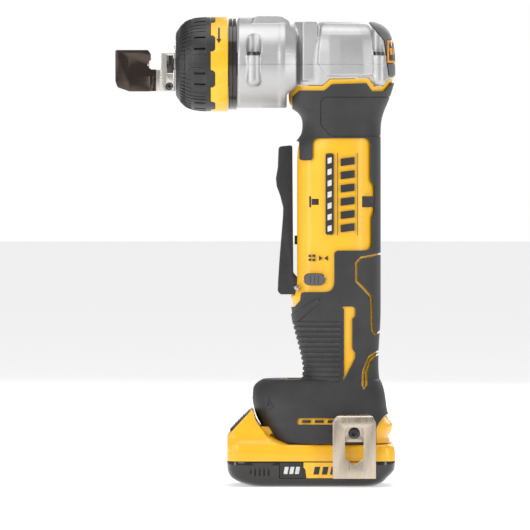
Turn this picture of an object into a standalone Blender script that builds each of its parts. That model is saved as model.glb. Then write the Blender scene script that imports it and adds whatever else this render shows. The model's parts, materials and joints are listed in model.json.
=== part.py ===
"""Cordless right-angle nibbler, modelled at rest as separate pieces.

Sizes below are in millimetres and become metres as each mesh is made. +Z is up and the punch points
to -X. The origin is the middle of the battery's flat base, on the plane where the two handle halves meet.
"""

import math

import bmesh
import bpy
from mathutils import Matrix, Vector

MM = 0.001
GAP = 0.3  # between pieces that touch or seat
RUN = 0.4  # between pieces that move past each other
HALF_SEAM = 0.15  # each half stops this far from the parting plane
FAR = 400.0  # reach of a cutter that has to pass right through

# Battery
BATTERY_LENGTH = 113.4
BATTERY_WIDTH = 75.0
LOWER_CASE_HEIGHT = 16.6
BATTERY_TOP = 28.1
CASE_WALL = 2.2
CASE_SQUARENESS = 9.0  # of the battery seen from above: higher draws its corners tighter
CELL_RADIUS = 9.2
CELL_LENGTH = 64.6
CELL_COUNT = 5
RAIL_WIDTH = 48.0
RAIL_TOP = 40.0
RAIL_FRONT = -30.0
RAIL_REAR = 28.0

# Foot and handle
FOOT_TOP = 71.5
FOOT_WIDTH = 73.0
HANDLE_X = 17.05
BODY_DEPTH = 59.1
BODY_WIDTH = 54.0
GRIP_DEPTH = 49.2
GRIP_WIDTH = 39.0
OVERMOLD = 1.3
SHELL_WALL = 2.4
TRIM_BAND = 3.4  # yellow line left bare under the gear case
PANEL_SINK = 0.15  # bare shell sits this far under the overmold's surface

# Head
HEAD_Z = 283.6
CASE_RADIUS = 31.3
CASE_FRONT = -49.6
CASE_REAR = -16.5
BLOCK_WIDTH = 58.0
BLOCK_REAR = 56.9
COLLAR_RADIUS = 31.85
COLLAR_FACE_RADIUS = 21.9
COLLAR_LENGTH = 23.6
COLLAR_RING_LENGTH = 11.6
FRONT_RING_LENGTH = 6.0
SPIGOT_RADIUS = 19.2
JOURNAL_RADIUS = 15.0
TAB_COUNT = 8
TAB_DEPTH = 2.7
NOSE_LENGTH = 9.4
THROAT = 7.1
DIE_PLATE_LENGTH = 23.8
DIE_PLATE_WIDTH = 16.0
NOSE_WIDTH = 22.0
PUNCH_RADIUS = 2.5
SHANK_RADIUS = 4.0
HOLDER_RADIUS = 9.0
RAM_RADIUS = 8.0
STROKE = 10.0

# Drive
MOTOR_X = 20.5
MOTOR_RADIUS = 21.0
ROTOR_RADIUS = MOTOR_RADIUS - 10.0
SHAFT_RADIUS = 2.2
GEAR_MODULE = MOTOR_RADIUS / 28
SUN_TEETH = 12
PLANET_TEETH = 18
RING_TEETH = 48
PLANET_COUNT = 3
GEAR_FACE = 10.0
YOKE_HALF_LENGTH = (MOTOR_RADIUS - 1.5) * 0.743 - STROKE / 2
YOKE_HALF_WIDTH = MOTOR_RADIUS * 0.595

# Controls
PADDLE_WIDTH = 23.0
PADDLE_TOP = 229.0
PADDLE_BOTTOM = 128.5
PIVOT_X = -9.6
PIVOT_Z = 133.0
PLUNGER_Z = 165.0
PLUNGER_RADIUS = 3.0
BUTTON_X = 2.2
BUTTON_Z = 138.9
BUTTON_LENGTH = 14.2
BUTTON_HEIGHT = 7.4
HOOK_WIDTH = 29.0
HOOK_THICK = 1.5
HOOK_X = 28.8

# Heights that follow from those above
BODY_TOP = HEAD_Z - 51.8
BODY_FRONT = HANDLE_X - BODY_DEPTH / 2
BODY_REAR = HANDLE_X + BODY_DEPTH / 2
RING_FRONT = CASE_FRONT - FRONT_RING_LENGTH
COLLAR_REAR = RING_FRONT - GAP - COLLAR_RING_LENGTH
COLLAR_FRONT = COLLAR_REAR - COLLAR_LENGTH
NOSE_REAR = COLLAR_FRONT - 0.5
NOSE_FRONT = NOSE_REAR - NOSE_LENGTH
PLATE_RIGHT = NOSE_FRONT - THROAT
PLATE_LEFT = PLATE_RIGHT - DIE_PLATE_LENGTH
GEAR_Z = HEAD_Z - 43.6
CARRIER_Z = GEAR_Z + GEAR_FACE + 1.4

BLACK_RUBBER = ("black_rubber", (0.028, 0.028, 0.030), 0.62, 0.0)
BLACK_PLASTIC = ("black_plastic", (0.018, 0.018, 0.019), 0.42, 0.0)
YELLOW_PLASTIC = ("yellow_plastic", (0.95, 0.55, 0.02), 0.38, 0.0)
GREY_PLASTIC = ("grey_plastic", (0.12, 0.12, 0.13), 0.5, 0.0)
CLEAR_PLASTIC = ("clear_plastic", (0.75, 0.78, 0.8), 0.1, 0.0)
CAST_ALUMINIUM = ("cast_aluminium", (0.62, 0.62, 0.62), 0.36, 0.85)
STEEL = ("steel", (0.55, 0.54, 0.52), 0.3, 1.0)
DARK_STEEL = ("dark_steel", (0.10, 0.09, 0.085), 0.28, 1.0)
NICKEL = ("nickel_steel", (0.66, 0.61, 0.54), 0.3, 1.0)
BRONZE = ("bronze", (0.55, 0.36, 0.15), 0.4, 1.0)
COPPER = ("copper", (0.65, 0.28, 0.12), 0.35, 1.0)
CELL_WRAP = ("cell_wrap", (0.05, 0.25, 0.32), 0.4, 0.0)


def clear_scene():
    for obj in list(bpy.data.objects):
        bpy.data.objects.remove(obj, do_unlink=True)


def material_of(spec):
    name, colour, roughness, metallic = spec
    found = bpy.data.materials.get(name)
    if found:
        return found
    made = bpy.data.materials.new(name)
    made.use_nodes = True
    shader = made.node_tree.nodes["Principled BSDF"]
    shader.inputs["Base Color"].default_value = (*colour, 1.0)
    shader.inputs["Roughness"].default_value = roughness
    shader.inputs["Metallic"].default_value = metallic
    made.diffuse_color = (*colour, 1.0)
    return made


def placed(name, bm, spec=None):
    """Makes an object of a closed bmesh given in millimetres."""
    bmesh.ops.remove_doubles(bm, verts=bm.verts, dist=1e-4)
    bmesh.ops.recalc_face_normals(bm, faces=bm.faces)
    bmesh.ops.scale(bm, vec=(MM, MM, MM), verts=bm.verts)
    mesh = bpy.data.meshes.new(name)
    bm.to_mesh(mesh)
    bm.free()
    obj = bpy.data.objects.new(name, mesh)
    bpy.context.scene.collection.objects.link(obj)
    if spec:
        mesh.materials.append(material_of(spec))
    return obj


def smooth(obj, angle=35.0):
    obj.data.shade_smooth()
    obj.data.set_sharp_from_angle(angle=math.radians(angle))
    return obj


def loft(name, rings, spec=None):
    """A closed solid through rings of equal point counts, capped at both ends."""
    bm = bmesh.new()
    levels = [[bm.verts.new(point) for point in ring] for ring in rings]
    count = len(levels[0])
    for low, high in zip(levels, levels[1:]):
        for i in range(count):
            j = (i + 1) % count
            bm.faces.new((low[i], low[j], high[j], high[i]))
    bm.faces.new(levels[0][::-1])
    bm.faces.new(levels[-1])
    return placed(name, bm, spec)


def turned(name, profile, centre, axis="X", segments=40, spec=None):
    """Spins a closed (along, radius) profile a full turn about an axis through centre."""
    bm = bmesh.new()
    along = {"X": Vector((1, 0, 0)), "Y": Vector((0, 1, 0)), "Z": Vector((0, 0, 1))}[axis]
    out = Vector((0, 0, 1)) if axis != "Z" else Vector((1, 0, 0))
    centre = Vector(centre)
    ring = [bm.verts.new(centre + along * a + out * r) for a, r in profile]
    pairs = [(ring[i - 1], ring[i]) for i in range(len(ring))]
    edges = [bm.edges.new(pair) for pair in pairs if any((v.co - centre).cross(along).length > 1e-6 for v in pair)]
    bmesh.ops.spin(
        bm, geom=ring + edges, cent=centre, axis=along, angle=2 * math.pi, steps=segments, use_merge=True
    )
    return placed(name, bm, spec)


def prism(name, outline, axis, low, high, spec=None):
    """Extrudes an outline along an axis. The outline's pairs are the other two axes, in X, Y, Z order."""
    index = "XYZ".index(axis)
    bm = bmesh.new()
    verts = []
    for pair in outline:
        point = list(pair)
        point.insert(index, low)
        verts.append(bm.verts.new(point))
    face = bm.faces.new(verts)
    extruded = bmesh.ops.extrude_face_region(bm, geom=[face])
    shift = [0.0, 0.0, 0.0]
    shift[index] = high - low
    moved = [g for g in extruded["geom"] if isinstance(g, bmesh.types.BMVert)]
    bmesh.ops.translate(bm, vec=shift, verts=moved)
    return placed(name, bm, spec)


def box(name, low, high, spec=None, bevel=0.0):
    bm = bmesh.new()
    bmesh.ops.create_cube(bm, size=1.0)
    size = [b - a for a, b in zip(low, high)]
    centre = [(a + b) / 2 for a, b in zip(low, high)]
    bmesh.ops.scale(bm, vec=size, verts=bm.verts)
    bmesh.ops.translate(bm, vec=centre, verts=bm.verts)
    if bevel:
        bmesh.ops.bevel(bm, geom=bm.edges[:], offset=bevel, segments=1, affect="EDGES")
    return placed(name, bm, spec)


def rod(name, start, end, radius, segments=20, spec=None):
    """A plain cylinder between two points on a line along X, Y or Z."""
    start, end = Vector(start), Vector(end)
    axis = "XYZ"[max(range(3), key=lambda i: abs(end[i] - start[i]))]
    length = (end - start).length * (1 if sum(end - start) > 0 else -1)
    return turned(name, [(0, 0), (length, 0), (length, radius), (0, radius)], start, axis, segments, spec)


def weld(mesh):
    """Merges the slivers that a Boolean can leave, and splits faces that aren't flat."""
    bm = bmesh.new()
    bm.from_mesh(mesh)
    bmesh.ops.remove_doubles(bm, verts=bm.verts, dist=0.004 * MM)
    bmesh.ops.dissolve_degenerate(bm, edges=bm.edges, dist=0.002 * MM)
    bmesh.ops.triangulate(bm, faces=bm.faces)
    bm.to_mesh(mesh)
    bm.free()


def combine(target, others, operation):
    """Joins or cuts target with the others, which are used up."""
    weld(target.data)
    for other in others:
        weld(other.data)
        step = target.modifiers.new(operation.lower(), "BOOLEAN")
        step.operation = operation
        step.object = other
        step.solver = "EXACT"
        bpy.context.view_layer.update()
        graph = bpy.context.evaluated_depsgraph_get()
        mesh = bpy.data.meshes.new_from_object(target.evaluated_get(graph))
        target.modifiers.clear()
        old, target.data = target.data, mesh
        name = old.name
        bpy.data.meshes.remove(old)
        mesh.name = name
        weld(mesh)
        bpy.data.objects.remove(other, do_unlink=True)
    return target


def join(target, *others):
    return combine(target, others, "UNION")


def cut(target, *others):
    return combine(target, others, "DIFFERENCE")


def keep(target, *others):
    return combine(target, others, "INTERSECT")


def copy_of(obj, name):
    made = bpy.data.objects.new(name, obj.data.copy())
    made.data.name = name
    bpy.context.scene.collection.objects.link(made)
    return made


def finish(obj, name, spec):
    """Names the piece, merges its flat areas back into few faces and gives it its material."""
    bm = bmesh.new()
    bm.from_mesh(obj.data)
    bmesh.ops.dissolve_limit(
        bm, angle_limit=math.radians(1.2), use_dissolve_boundaries=False, verts=bm.verts, edges=bm.edges
    )
    bmesh.ops.triangulate(bm, faces=bm.faces)
    bm.to_mesh(obj.data)
    bm.free()
    obj.name = name
    obj.data.name = name
    obj.data.materials.clear()
    obj.data.materials.append(material_of(spec))
    return smooth(obj)


def pivoted(obj, point):
    """Moves the object's origin to a point on its joint's axis, leaving its shape in place."""
    place = Vector(point) * MM
    obj.data.transform(Matrix.Translation(-place))
    obj.location = place
    return obj


def filleted(corners, steps=2):
    """An outline from (a, b) or (a, b, radius) corners, each radius as an arc."""
    outline = []
    count = len(corners)
    for i, corner in enumerate(corners):
        here = Vector(corner[:2])
        radius = corner[2] if len(corner) > 2 else 0.0
        if not radius:
            outline.append(tuple(here))
            continue
        to_last = (Vector(corners[i - 1][:2]) - here)
        to_next = (Vector(corners[(i + 1) % count][:2]) - here)
        angle = to_last.angle(to_next)
        reach = min(radius / math.tan(angle / 2), to_last.length * 0.48, to_next.length * 0.48)
        start, end = here + to_last.normalized() * reach, here + to_next.normalized() * reach
        for step in range(steps + 1):
            t = step / steps
            point = start * (1 - t) ** 2 + here * 2 * t * (1 - t) + end * t**2
            outline.append(tuple(point))
    return outline


def grown(outline, distance):
    """The outline moved outwards by a distance, or inwards when it is negative."""
    points = [Vector(p) for p in outline]
    area = sum(a.x * b.y - b.x * a.y for a, b in zip(points, points[1:] + points[:1]))
    side = 1 if area > 0 else -1
    made = []
    for i, here in enumerate(points):
        before = (here - points[i - 1]).normalized()
        after = (points[(i + 1) % len(points)] - here).normalized()
        normal = Vector((before.y + after.y, -before.x - after.x)) * side
        if normal.length < 1e-9:
            normal = Vector((before.y, -before.x)) * side
        normal.normalize()
        share = max(0.5, normal.dot(Vector((before.y, -before.x)) * side))
        made.append(tuple(here + normal * distance / share))
    return made


def oval(centre, length, height, steps=5):
    """A slot outline with round ends, long along its first axis."""
    radius = height / 2
    made = []
    for side in (1, -1):
        for step in range(steps + 1):
            angle = math.radians(-90 + 180 * step / steps) if side > 0 else math.radians(90 + 180 * step / steps)
            made.append(
                (
                    centre[0] + side * (length / 2 - radius) + radius * math.cos(angle),
                    centre[1] + radius * math.sin(angle),
                )
            )
    return made


def rounded_ring(z, front, rear, half_width, squareness, count):
    """A level ring of the handle or foot: an oval drawn out towards a rectangle by its squareness."""
    ring = []
    for i in range(count):
        angle = 2 * math.pi * (i + 0.5) / count
        across, along = math.sin(angle), math.cos(angle)
        x = math.copysign(abs(along) ** (2 / squareness), along) * (rear - front) / 2 + (rear + front) / 2
        y = math.copysign(abs(across) ** (2 / squareness), across) * half_width
        ring.append((x, y, z))
    return ring


# --- handle and head envelope -------------------------------------------------------------------


def handle_sections():
    """(height, front, rear, half width) up the grip, the motor body, the neck and the gear block."""
    grip_rear = HANDLE_X + 28.1
    waist = grip_rear - GRIP_DEPTH
    grip_half = GRIP_WIDTH / 2
    body_half = BODY_WIDTH / 2
    block_half = BLOCK_WIDTH / 2
    bulge = PADDLE_BOTTOM - 1
    neck_front = HANDLE_X - 22.2
    top = HEAD_Z + 28.6
    return [
        (FOOT_TOP - 16, waist - 4, grip_rear + 3.5, grip_half + 5),
        (FOOT_TOP - 3, waist - 2.5, grip_rear + 1.0, grip_half + 3),
        (FOOT_TOP + 4, waist, grip_rear + 0.1, grip_half + 0.6),
        (FOOT_TOP + 11, waist - 0.8, grip_rear, grip_half),
        (FOOT_TOP + 20, waist - 2.7, grip_rear + 0.1, grip_half),
        (FOOT_TOP + 31, waist - 5.8, grip_rear + 0.9, grip_half + 0.7),
        (FOOT_TOP + 40, waist - 7.9, grip_rear + 1.4, grip_half + 1.8),
        (bulge - 9, waist - 8.5, BODY_REAR, grip_half + 3.2),
        (bulge - 3, BODY_FRONT - 1.6, BODY_REAR, body_half - 2.4),
        (bulge, BODY_FRONT - 2.7, BODY_REAR, body_half - 1.9),
        (bulge + 4, BODY_FRONT - 0.4, BODY_REAR, body_half - 1.5),
        (bulge + 16, BODY_FRONT, BODY_REAR, body_half - 0.4),
        (bulge + 34, BODY_FRONT, BODY_REAR, body_half),
        (BODY_TOP - 8, BODY_FRONT, BODY_REAR, body_half),
        (BODY_TOP + 1, BODY_FRONT + 2.3, BODY_REAR, body_half - 0.4),
        (BODY_TOP + 5, neck_front + 0.6, BODY_REAR, body_half - 1.0),
        (HEAD_Z - 40.6, neck_front, BODY_REAR, body_half - 1.4),
        (HEAD_Z - 35.6, neck_front - 0.8, BODY_REAR + 1.0, body_half - 1.1),
        (HEAD_Z - 31.8, neck_front - 4.0, BODY_REAR + 2.2, body_half - 0.4),
        (HEAD_Z - 29.2, CASE_REAR + 2.2, BODY_REAR + 3.2, body_half + 0.4),
        (HEAD_Z - 25.6, CASE_REAR + 0.4, BODY_REAR + 4.8, block_half - 1.0),
        (HEAD_Z - 20, CASE_REAR + 0.3, BLOCK_REAR - 3.4, block_half - 0.4),
        (HEAD_Z - 9, CASE_REAR + 0.3, BLOCK_REAR, block_half),
        (HEAD_Z, CASE_REAR + 0.3, BLOCK_REAR - 0.7, block_half),
        (HEAD_Z + 9, CASE_REAR + 0.3, BLOCK_REAR - 1.1, block_half - 0.2),
        (HEAD_Z + 16.7, CASE_REAR + 0.6, BLOCK_REAR - 2.4, block_half - 1.2),
        (HEAD_Z + 22.7, CASE_REAR + 1.2, BLOCK_REAR - 4.5, block_half - 4.2),
        (HEAD_Z + 26.6, CASE_REAR + 2.5, BLOCK_REAR - 9.0, block_half - 9.0),
        (top, CASE_REAR + 5.0, BLOCK_REAR - 14.5, block_half - 15.0),
    ]


def foot_front(z):
    """How far forward the foot reaches at a height."""
    line = [(BATTERY_TOP, -25.2), (36, -29.5), (46, -36.2), (56, -38.4), (FOOT_TOP - 8, -38.9)]
    line += [(FOOT_TOP - 3.5, -37.0), (FOOT_TOP, -31.5)]
    for (low, a), (high, b) in zip(line, line[1:]):
        if z <= high:
            return a + (b - a) * (z - low) / (high - low)
    return line[-1][1]


def foot_sections():
    half = FOOT_WIDTH / 2
    return [
        (BATTERY_TOP + GAP, foot_front(BATTERY_TOP + GAP), 54.4, half),
        (33.2, foot_front(33.2), 52.2, half),
        (35.6, foot_front(35.6), 55.2, half),
        (40.6, foot_front(40.6), 55.6, half),
        (42.0, foot_front(42.0), 54.9, half - 1.9),
        (47.0, foot_front(47.0), 50.6, half - 2.0),
        (56.0, foot_front(56.0), 49.6, half - 4.5),
        (FOOT_TOP - 8, foot_front(FOOT_TOP - 8), 48.5, half - 8.5),
        (FOOT_TOP - 3.5, foot_front(FOOT_TOP - 3.5), 47.0, half - 12.0),
        (FOOT_TOP, foot_front(FOOT_TOP), 45.6, half - 15.5),
    ]


def envelope(name, inset=0.0, count=16, reach=0.0):
    """The handle and foot together, moved in by an inset and, for a hollow, run out through the foot's base."""
    straight = 13  # sections below this one are close to a straight run, so a hollow needs only half of them
    handle = [
        rounded_ring(z, front + inset, rear - inset, half - inset, 2.7, count)
        for i, (z, front, rear, half) in enumerate(handle_sections())
        if i >= straight or i % 2 == 0 or not inside_only(inset)
    ]
    foot = []
    sections = foot_sections()
    for i, (z, front, rear, half) in enumerate(sections):
        if inside_only(inset) and i in (1, 2, 4, 8):
            continue
        if i == len(sections) - 1:
            z -= inset
        if i == 0 and reach:
            foot.append(rounded_ring(z - reach, front + inset, rear - inset, half - inset, 4.2, count))
        foot.append(rounded_ring(z, front + inset, rear - inset, half - inset, 4.2, count))
    return join(loft(name, handle), loft("foot_part", foot))


def inside_only(inset):
    return inset > OVERMOLD + 2 * GAP


def trim_line(lower=0.0):
    """The joint line between the gear case and the handle, from front to rear, moved down by an amount."""
    line = [
        (CASE_REAR - 40, HEAD_Z - 29.4),
        (CASE_REAR + 0.1, HEAD_Z - 29.4),
        (CASE_REAR + 0.1, HEAD_Z - 20.3),
        (CASE_REAR + 7.0, HEAD_Z - 14.3),
        (HANDLE_X - 9.5, HEAD_Z - 14.3),
        (HANDLE_X - 4.6, HEAD_Z - 10.0),
        (HANDLE_X + 21.6, HEAD_Z - 9.4),
        (HANDLE_X + 25.4, HEAD_Z - 14.9),
        (HANDLE_X + 30.9, HEAD_Z - 14.9),
        (HANDLE_X + 36.1, HEAD_Z - 9.2),
        (HANDLE_X + 60, HEAD_Z - 9.2),
    ]
    if not lower:
        return line
    moved = []
    for i, here in enumerate(line):
        here = Vector(here)
        normals = []
        for other, sign in ((i - 1, 1), (i + 1, -1)):
            if 0 <= other < len(line):
                run = (here - Vector(line[other])).normalized() * sign
                normals.append(Vector((run.y, -run.x)))
        normal = sum(normals, Vector((0, 0))).normalized()
        share = max(0.5, normal.dot(normals[0]))
        moved.append(tuple(here + normal * lower / share))
    return moved


def above_trim(name, lower):
    line = trim_line(lower)
    return prism(name, line + [(line[-1][0], HEAD_Z + FAR), (line[0][0], HEAD_Z + FAR)], "Y", -FAR, FAR)


def bare_windows():
    """Side outlines of the places where the yellow shell shows through the overmold."""
    ahead = BODY_FRONT - 12
    button_z = BUTTON_Z
    main = [
        (ahead, BODY_TOP), (BODY_FRONT + 4.5, BODY_TOP),
        (BODY_FRONT + 4.5, BODY_TOP - 12.8, 2.5), (BODY_FRONT + 13.4, BODY_TOP - 12.8, 2.5),
        (BODY_FRONT + 13.4, BODY_TOP + 2.0, 5), (HANDLE_X + 22.8, BODY_TOP + 2.0, 5),
        (HANDLE_X + 22.8, BODY_TOP - 26.6), (HANDLE_X + 25.6, BODY_TOP - 30.7),
        (HANDLE_X + 25.6, BODY_TOP - 47.3), (HANDLE_X + 23.7, BODY_TOP - 51.3),
        (HANDLE_X + 23.7, button_z + 19.4, 5), (HANDLE_X - 1.5, button_z + 19.4, 4),
        (HANDLE_X - 1.5, button_z - 8.6, 6), (BODY_FRONT + 5.2, button_z - 8.6, 3),
        (BODY_FRONT + 4.4, button_z - 14.6), (BODY_FRONT + 1.0, button_z - 19.2), (ahead, button_z - 19.2),
    ]
    accent_top = FOOT_TOP + 49.1
    accent = [
        (20.8, accent_top), (29.7, accent_top, 2.5), (29.7, accent_top - 6.6), (27.7, accent_top - 8.6),
        (27.7, accent_top - 28.6), (29.7, accent_top - 31.2), (29.7, accent_top - 35),
        (21.3, accent_top - 51.0), (22.2, accent_top - 45), (22.2, accent_top - 2.2), (20.8, accent_top - 1.4),
    ]
    front_foot = [
        (-70, FOOT_TOP + 9), (-9.6, FOOT_TOP + 9), (-8.0, FOOT_TOP - 5), (-8.0, FOOT_TOP - 8.7, 1.5),
        (-10.9, FOOT_TOP - 10), (-21, FOOT_TOP - 10.2), (-25.3, FOOT_TOP - 11.4), (-29.6, FOOT_TOP - 7.5, 1.5),
        (-35.4, FOOT_TOP - 10), (-34.2, FOOT_TOP - 18), (-31.4, 45), (-26.0, 33), (-24.0, BATTERY_TOP - 9),
        (-70, BATTERY_TOP - 9),
    ]
    rear_foot = [(80, 50), (51, 49.0), (45.2, 42.2), (43.8, 39.4), (43.8, BATTERY_TOP - 9), (80, BATTERY_TOP - 9)]
    vent = [(-8.6, 46.1), (25.0, 46.1), (23.4, 41.9), (-10.4, 41.9)]
    return [filleted(outline) for outline in (main, accent, front_foot, rear_foot, vent)]


def lens_box(name, grow=0.0):
    """The work light's lens in the foot's front, or the opening for it."""
    front, low = foot_front(FOOT_TOP - 9) - 0.3 - grow, FOOT_TOP - 12 - grow
    return box(name, (front - 10 * grow, -7 - grow, low), (front + 6 + 2 * grow, 7 + grow, FOOT_TOP - 5.5 + grow))


def paddle_pin(name, grow=0.0):
    reach = BODY_WIDTH / 2 - 6.4 + grow
    return rod(name, (PIVOT_X, -reach, PIVOT_Z), (PIVOT_X, reach, PIVOT_Z), 1.6 + grow, 14)


def side_features():
    """Cutters for what passes through both the shell and the overmold."""
    slot_half = PADDLE_WIDTH / 2 + 0.5
    return [
        lens_box("lens_opening", GAP),
        paddle_pin("pin_hole", GAP),
        box("paddle_slot", (BODY_FRONT - 20, -slot_half, PADDLE_BOTTOM - 0.6),
            (BODY_FRONT + 15.5, slot_half, PADDLE_TOP + 2.2)),
        prism("button_hole", grown(oval((BUTTON_X, BUTTON_Z), BUTTON_LENGTH, BUTTON_HEIGHT), RUN),
              "Y", -FAR, FAR),
        battery_tunnel(),
    ]


def battery_tunnel():
    """The space that the battery's rails slide through, open at the foot's front."""
    half = RAIL_WIDTH / 2 + RUN
    return box("tunnel", (-FAR, -half, BATTERY_TOP - 20), (RAIL_REAR + 12, half, RAIL_TOP + RUN))


def half_space(side):
    """The half of the world on one side of the parting plane, less the seam."""
    low, high = (-FAR, -HALF_SEAM) if side < 0 else (HALF_SEAM, FAR)
    return box("side_half", (-FAR, low, -FAR), (FAR, high, HEAD_Z + FAR))


def split(whole, left_name, right_name, spec):
    left = copy_of(whole, left_name)
    keep(left, half_space(-1))
    keep(whole, half_space(1))
    return finish(left, left_name, spec), finish(whole, right_name, spec)


def make_shells():
    shell = envelope("shell", OVERMOLD + GAP)
    panels = envelope("panels", PANEL_SINK)
    windows = bare_windows()
    shown = prism("shown", grown(windows[0], -GAP), "Y", -FAR, FAR)
    join(shown, *[prism("window", grown(w, -GAP), "Y", -FAR, FAR) for w in windows[1:]])
    join(shown, above_trim("trim_band", TRIM_BAND - GAP))
    keep(panels, shown)
    join(shell, panels)
    hollow = envelope("hollow", OVERMOLD + GAP + SHELL_WALL, 12, 20)
    cut(hollow, *[rod("boss", (x, -FAR, z), (x, FAR, z), 4.6, 10) for x, z, _ in screw_places()])
    cut(shell, hollow, above_trim("head_cut", GAP), *side_features())
    for x in (HANDLE_X - 14.3, HANDLE_X + 21.1):
        z = BODY_TOP - 40.7
        cut(shell, box("vent_slot", (x - 2.4, -FAR, z - 2.1), (x + 2.4, FAR, z + 2.1)))
    for x, z, y in screw_places():
        cut(shell, rod("screw_way", (x, -12, z), (x, FAR, z), 1.9, 10), rod("head_way", (x, y - GAP, z), (x, FAR, z), 3.4, 12))
    cut(shell, rod("hook_way", (HOOK_X, -FAR, 36.0), (HOOK_X, 0, 36.0), 2.5, 12))
    return split(shell, "left_shell", "right_shell", YELLOW_PLASTIC)


def make_overmolds():
    skin = envelope("skin")
    core = envelope("core", OVERMOLD, reach=20)
    cut(skin, core, above_trim("band_cut", TRIM_BAND))
    cut(skin, *[prism("window", w, "Y", -FAR, FAR) for w in bare_windows()])
    cut(skin, *side_features())
    for x, z, _ in screw_places():
        cut(skin, rod("head_way", (x, 0.1, z), (x, FAR, z), 3.4, 12))
    cut(skin, rod("hook_seat", (HOOK_X, -FAR, 36.0), (HOOK_X, 0, 36.0), 4.4, 16))
    return split(skin, "left_overmold", "right_overmold", BLACK_RUBBER)


def screw_places():
    """Where the handle screws cross the parting plane and how deep their heads sit, as (x, z, y)."""
    body, grip = BODY_WIDTH / 2 - 9.5, GRIP_WIDTH / 2 - 8.5
    return [
        (HANDLE_X + 20.5, BODY_TOP - 53.8, body),
        (HANDLE_X + 20.5, BUTTON_Z + 6, body),
        (HANDLE_X + 21.6, FOOT_TOP + 10, grip),
        (-24.0, FOOT_TOP - 16, FOOT_WIDTH / 2 - 14),
    ]


# --- gear case -----------------------------------------------------------------------------------


def boss_places():
    """Where the gear case screws stand, as (x, y)."""
    return [(x, y * side) for side in (-1, 1) for x, y in ((-38.6, 28.6), (45.4, 22.6))]


def case_outside(name):
    block = loft(name, [
        rounded_ring(z, front, rear, half, 2.7, 20) for z, front, rear, half in handle_sections()[-13:]
    ])
    drum = turned(
        "drum",
        [(0, 0), (34, 0), (34, 20), (CASE_REAR + 6 - CASE_FRONT, 28.0), (CASE_REAR - CASE_FRONT, CASE_RADIUS),
         (1.0, CASE_RADIUS), (0, CASE_RADIUS - 1.0)],
        (CASE_FRONT, 0, HEAD_Z), "X", 32,
    )
    join(block, drum)
    for x, y in boss_places():
        boss = [(0, 0), (0, 4.0), (3.0, 5.0), (19.3, 5.0), (19.3, 0)]
        join(block, turned("boss", boss, (x, y, HEAD_Z - 12.2), "Z", 14))
    return block


def bumper_line():
    """The rear bumper's front edge seen from the side, from top to bottom."""
    return [
        (BLOCK_REAR - 17.5, HEAD_Z + 34), (BLOCK_REAR - 17.5, HEAD_Z + 27.5), (BLOCK_REAR - 7.4, HEAD_Z + 15.8),
        (BLOCK_REAR - 5.6, HEAD_Z + 1.2), (BLOCK_REAR - 4.4, HEAD_Z - 8.0),
    ]


def bumper_region(name, shift):
    line = [(x + shift, z) for x, z in bumper_line()]
    return prism(name, line + [(BLOCK_REAR + 40, HEAD_Z - 8.0), (BLOCK_REAR + 40, HEAD_Z + 34)], "Y", -FAR, FAR)


def make_gear_case():
    case = case_outside("case")
    below = trim_line()
    under = prism("under", below + [(below[-1][0], -FAR), (below[0][0], -FAR)], "Y", -FAR, FAR)
    cut(case, under, bumper_region("bumper_cut", -GAP))
    skirt_top = HEAD_Z - 12
    skirt_bottom = CARRIER_Z + 0.4
    radius = MOTOR_RADIUS + 0.8
    join(case, rod("skirt", (MOTOR_X, 0, skirt_bottom), (MOTOR_X, 0, skirt_top), radius, 28))
    well = radius - 2.3
    cut(
        case,
        rod("well", (MOTOR_X, 0, skirt_bottom - 5), (MOTOR_X, 0, HEAD_Z + 13), well, 28),
        rod("ram_way", (CASE_FRONT - 5, 0, HEAD_Z), (MOTOR_X, 0, HEAD_Z), RAM_RADIUS + 2.6, 20),
    )
    for x, y in boss_places():
        cut(
            case,
            rod("channel", (x, y, HEAD_Z + 7.4), (x, y, HEAD_Z + 40), 5.1, 14),
            rod("thread", (x, y, HEAD_Z - 9.6), (x, y, HEAD_Z + 20), 2.2 + GAP, 12),
            rod("counterbore", (x, y, HEAD_Z + 3.9), (x, y, HEAD_Z + 20), 4.2 + GAP, 12),
        )
    lower = copy_of(case, "gear_case_lower")
    keep(lower, box("low_half", (-FAR, -FAR, -FAR), (FAR, FAR, HEAD_Z - HALF_SEAM)))
    keep(case, box("high_half", (-FAR, -FAR, HEAD_Z + HALF_SEAM), (FAR, FAR, HEAD_Z + FAR)))
    finish(case, "gear_case_upper", CAST_ALUMINIUM)
    finish(lower, "gear_case_lower", CAST_ALUMINIUM)
    for i, (x, y) in enumerate(boss_places(), 1):
        screw = turned(
            f"gear_case_screw_{i}",
            [(-13, 0), (-13, 2.2), (0, 2.2), (0, 4.2), (4.2, 3.8), (4.2, 2.2), (2.2, 0)],
            (x, y, HEAD_Z + 4.2), "Z", 10, DARK_STEEL,
        )
        smooth(screw)
    for name, low, high in (("ram_bush_front", 2.0, 15.6), ("ram_bush_rear", 33.6, 47.6)):
        bush = [(low, RAM_RADIUS + 0.35), (low, RAM_RADIUS + 2.3), (high, RAM_RADIUS + 2.3), (high, RAM_RADIUS + 0.35)]
        smooth(turned(name, bush, (CASE_FRONT, 0, HEAD_Z), "X", 20, BRONZE))


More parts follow.
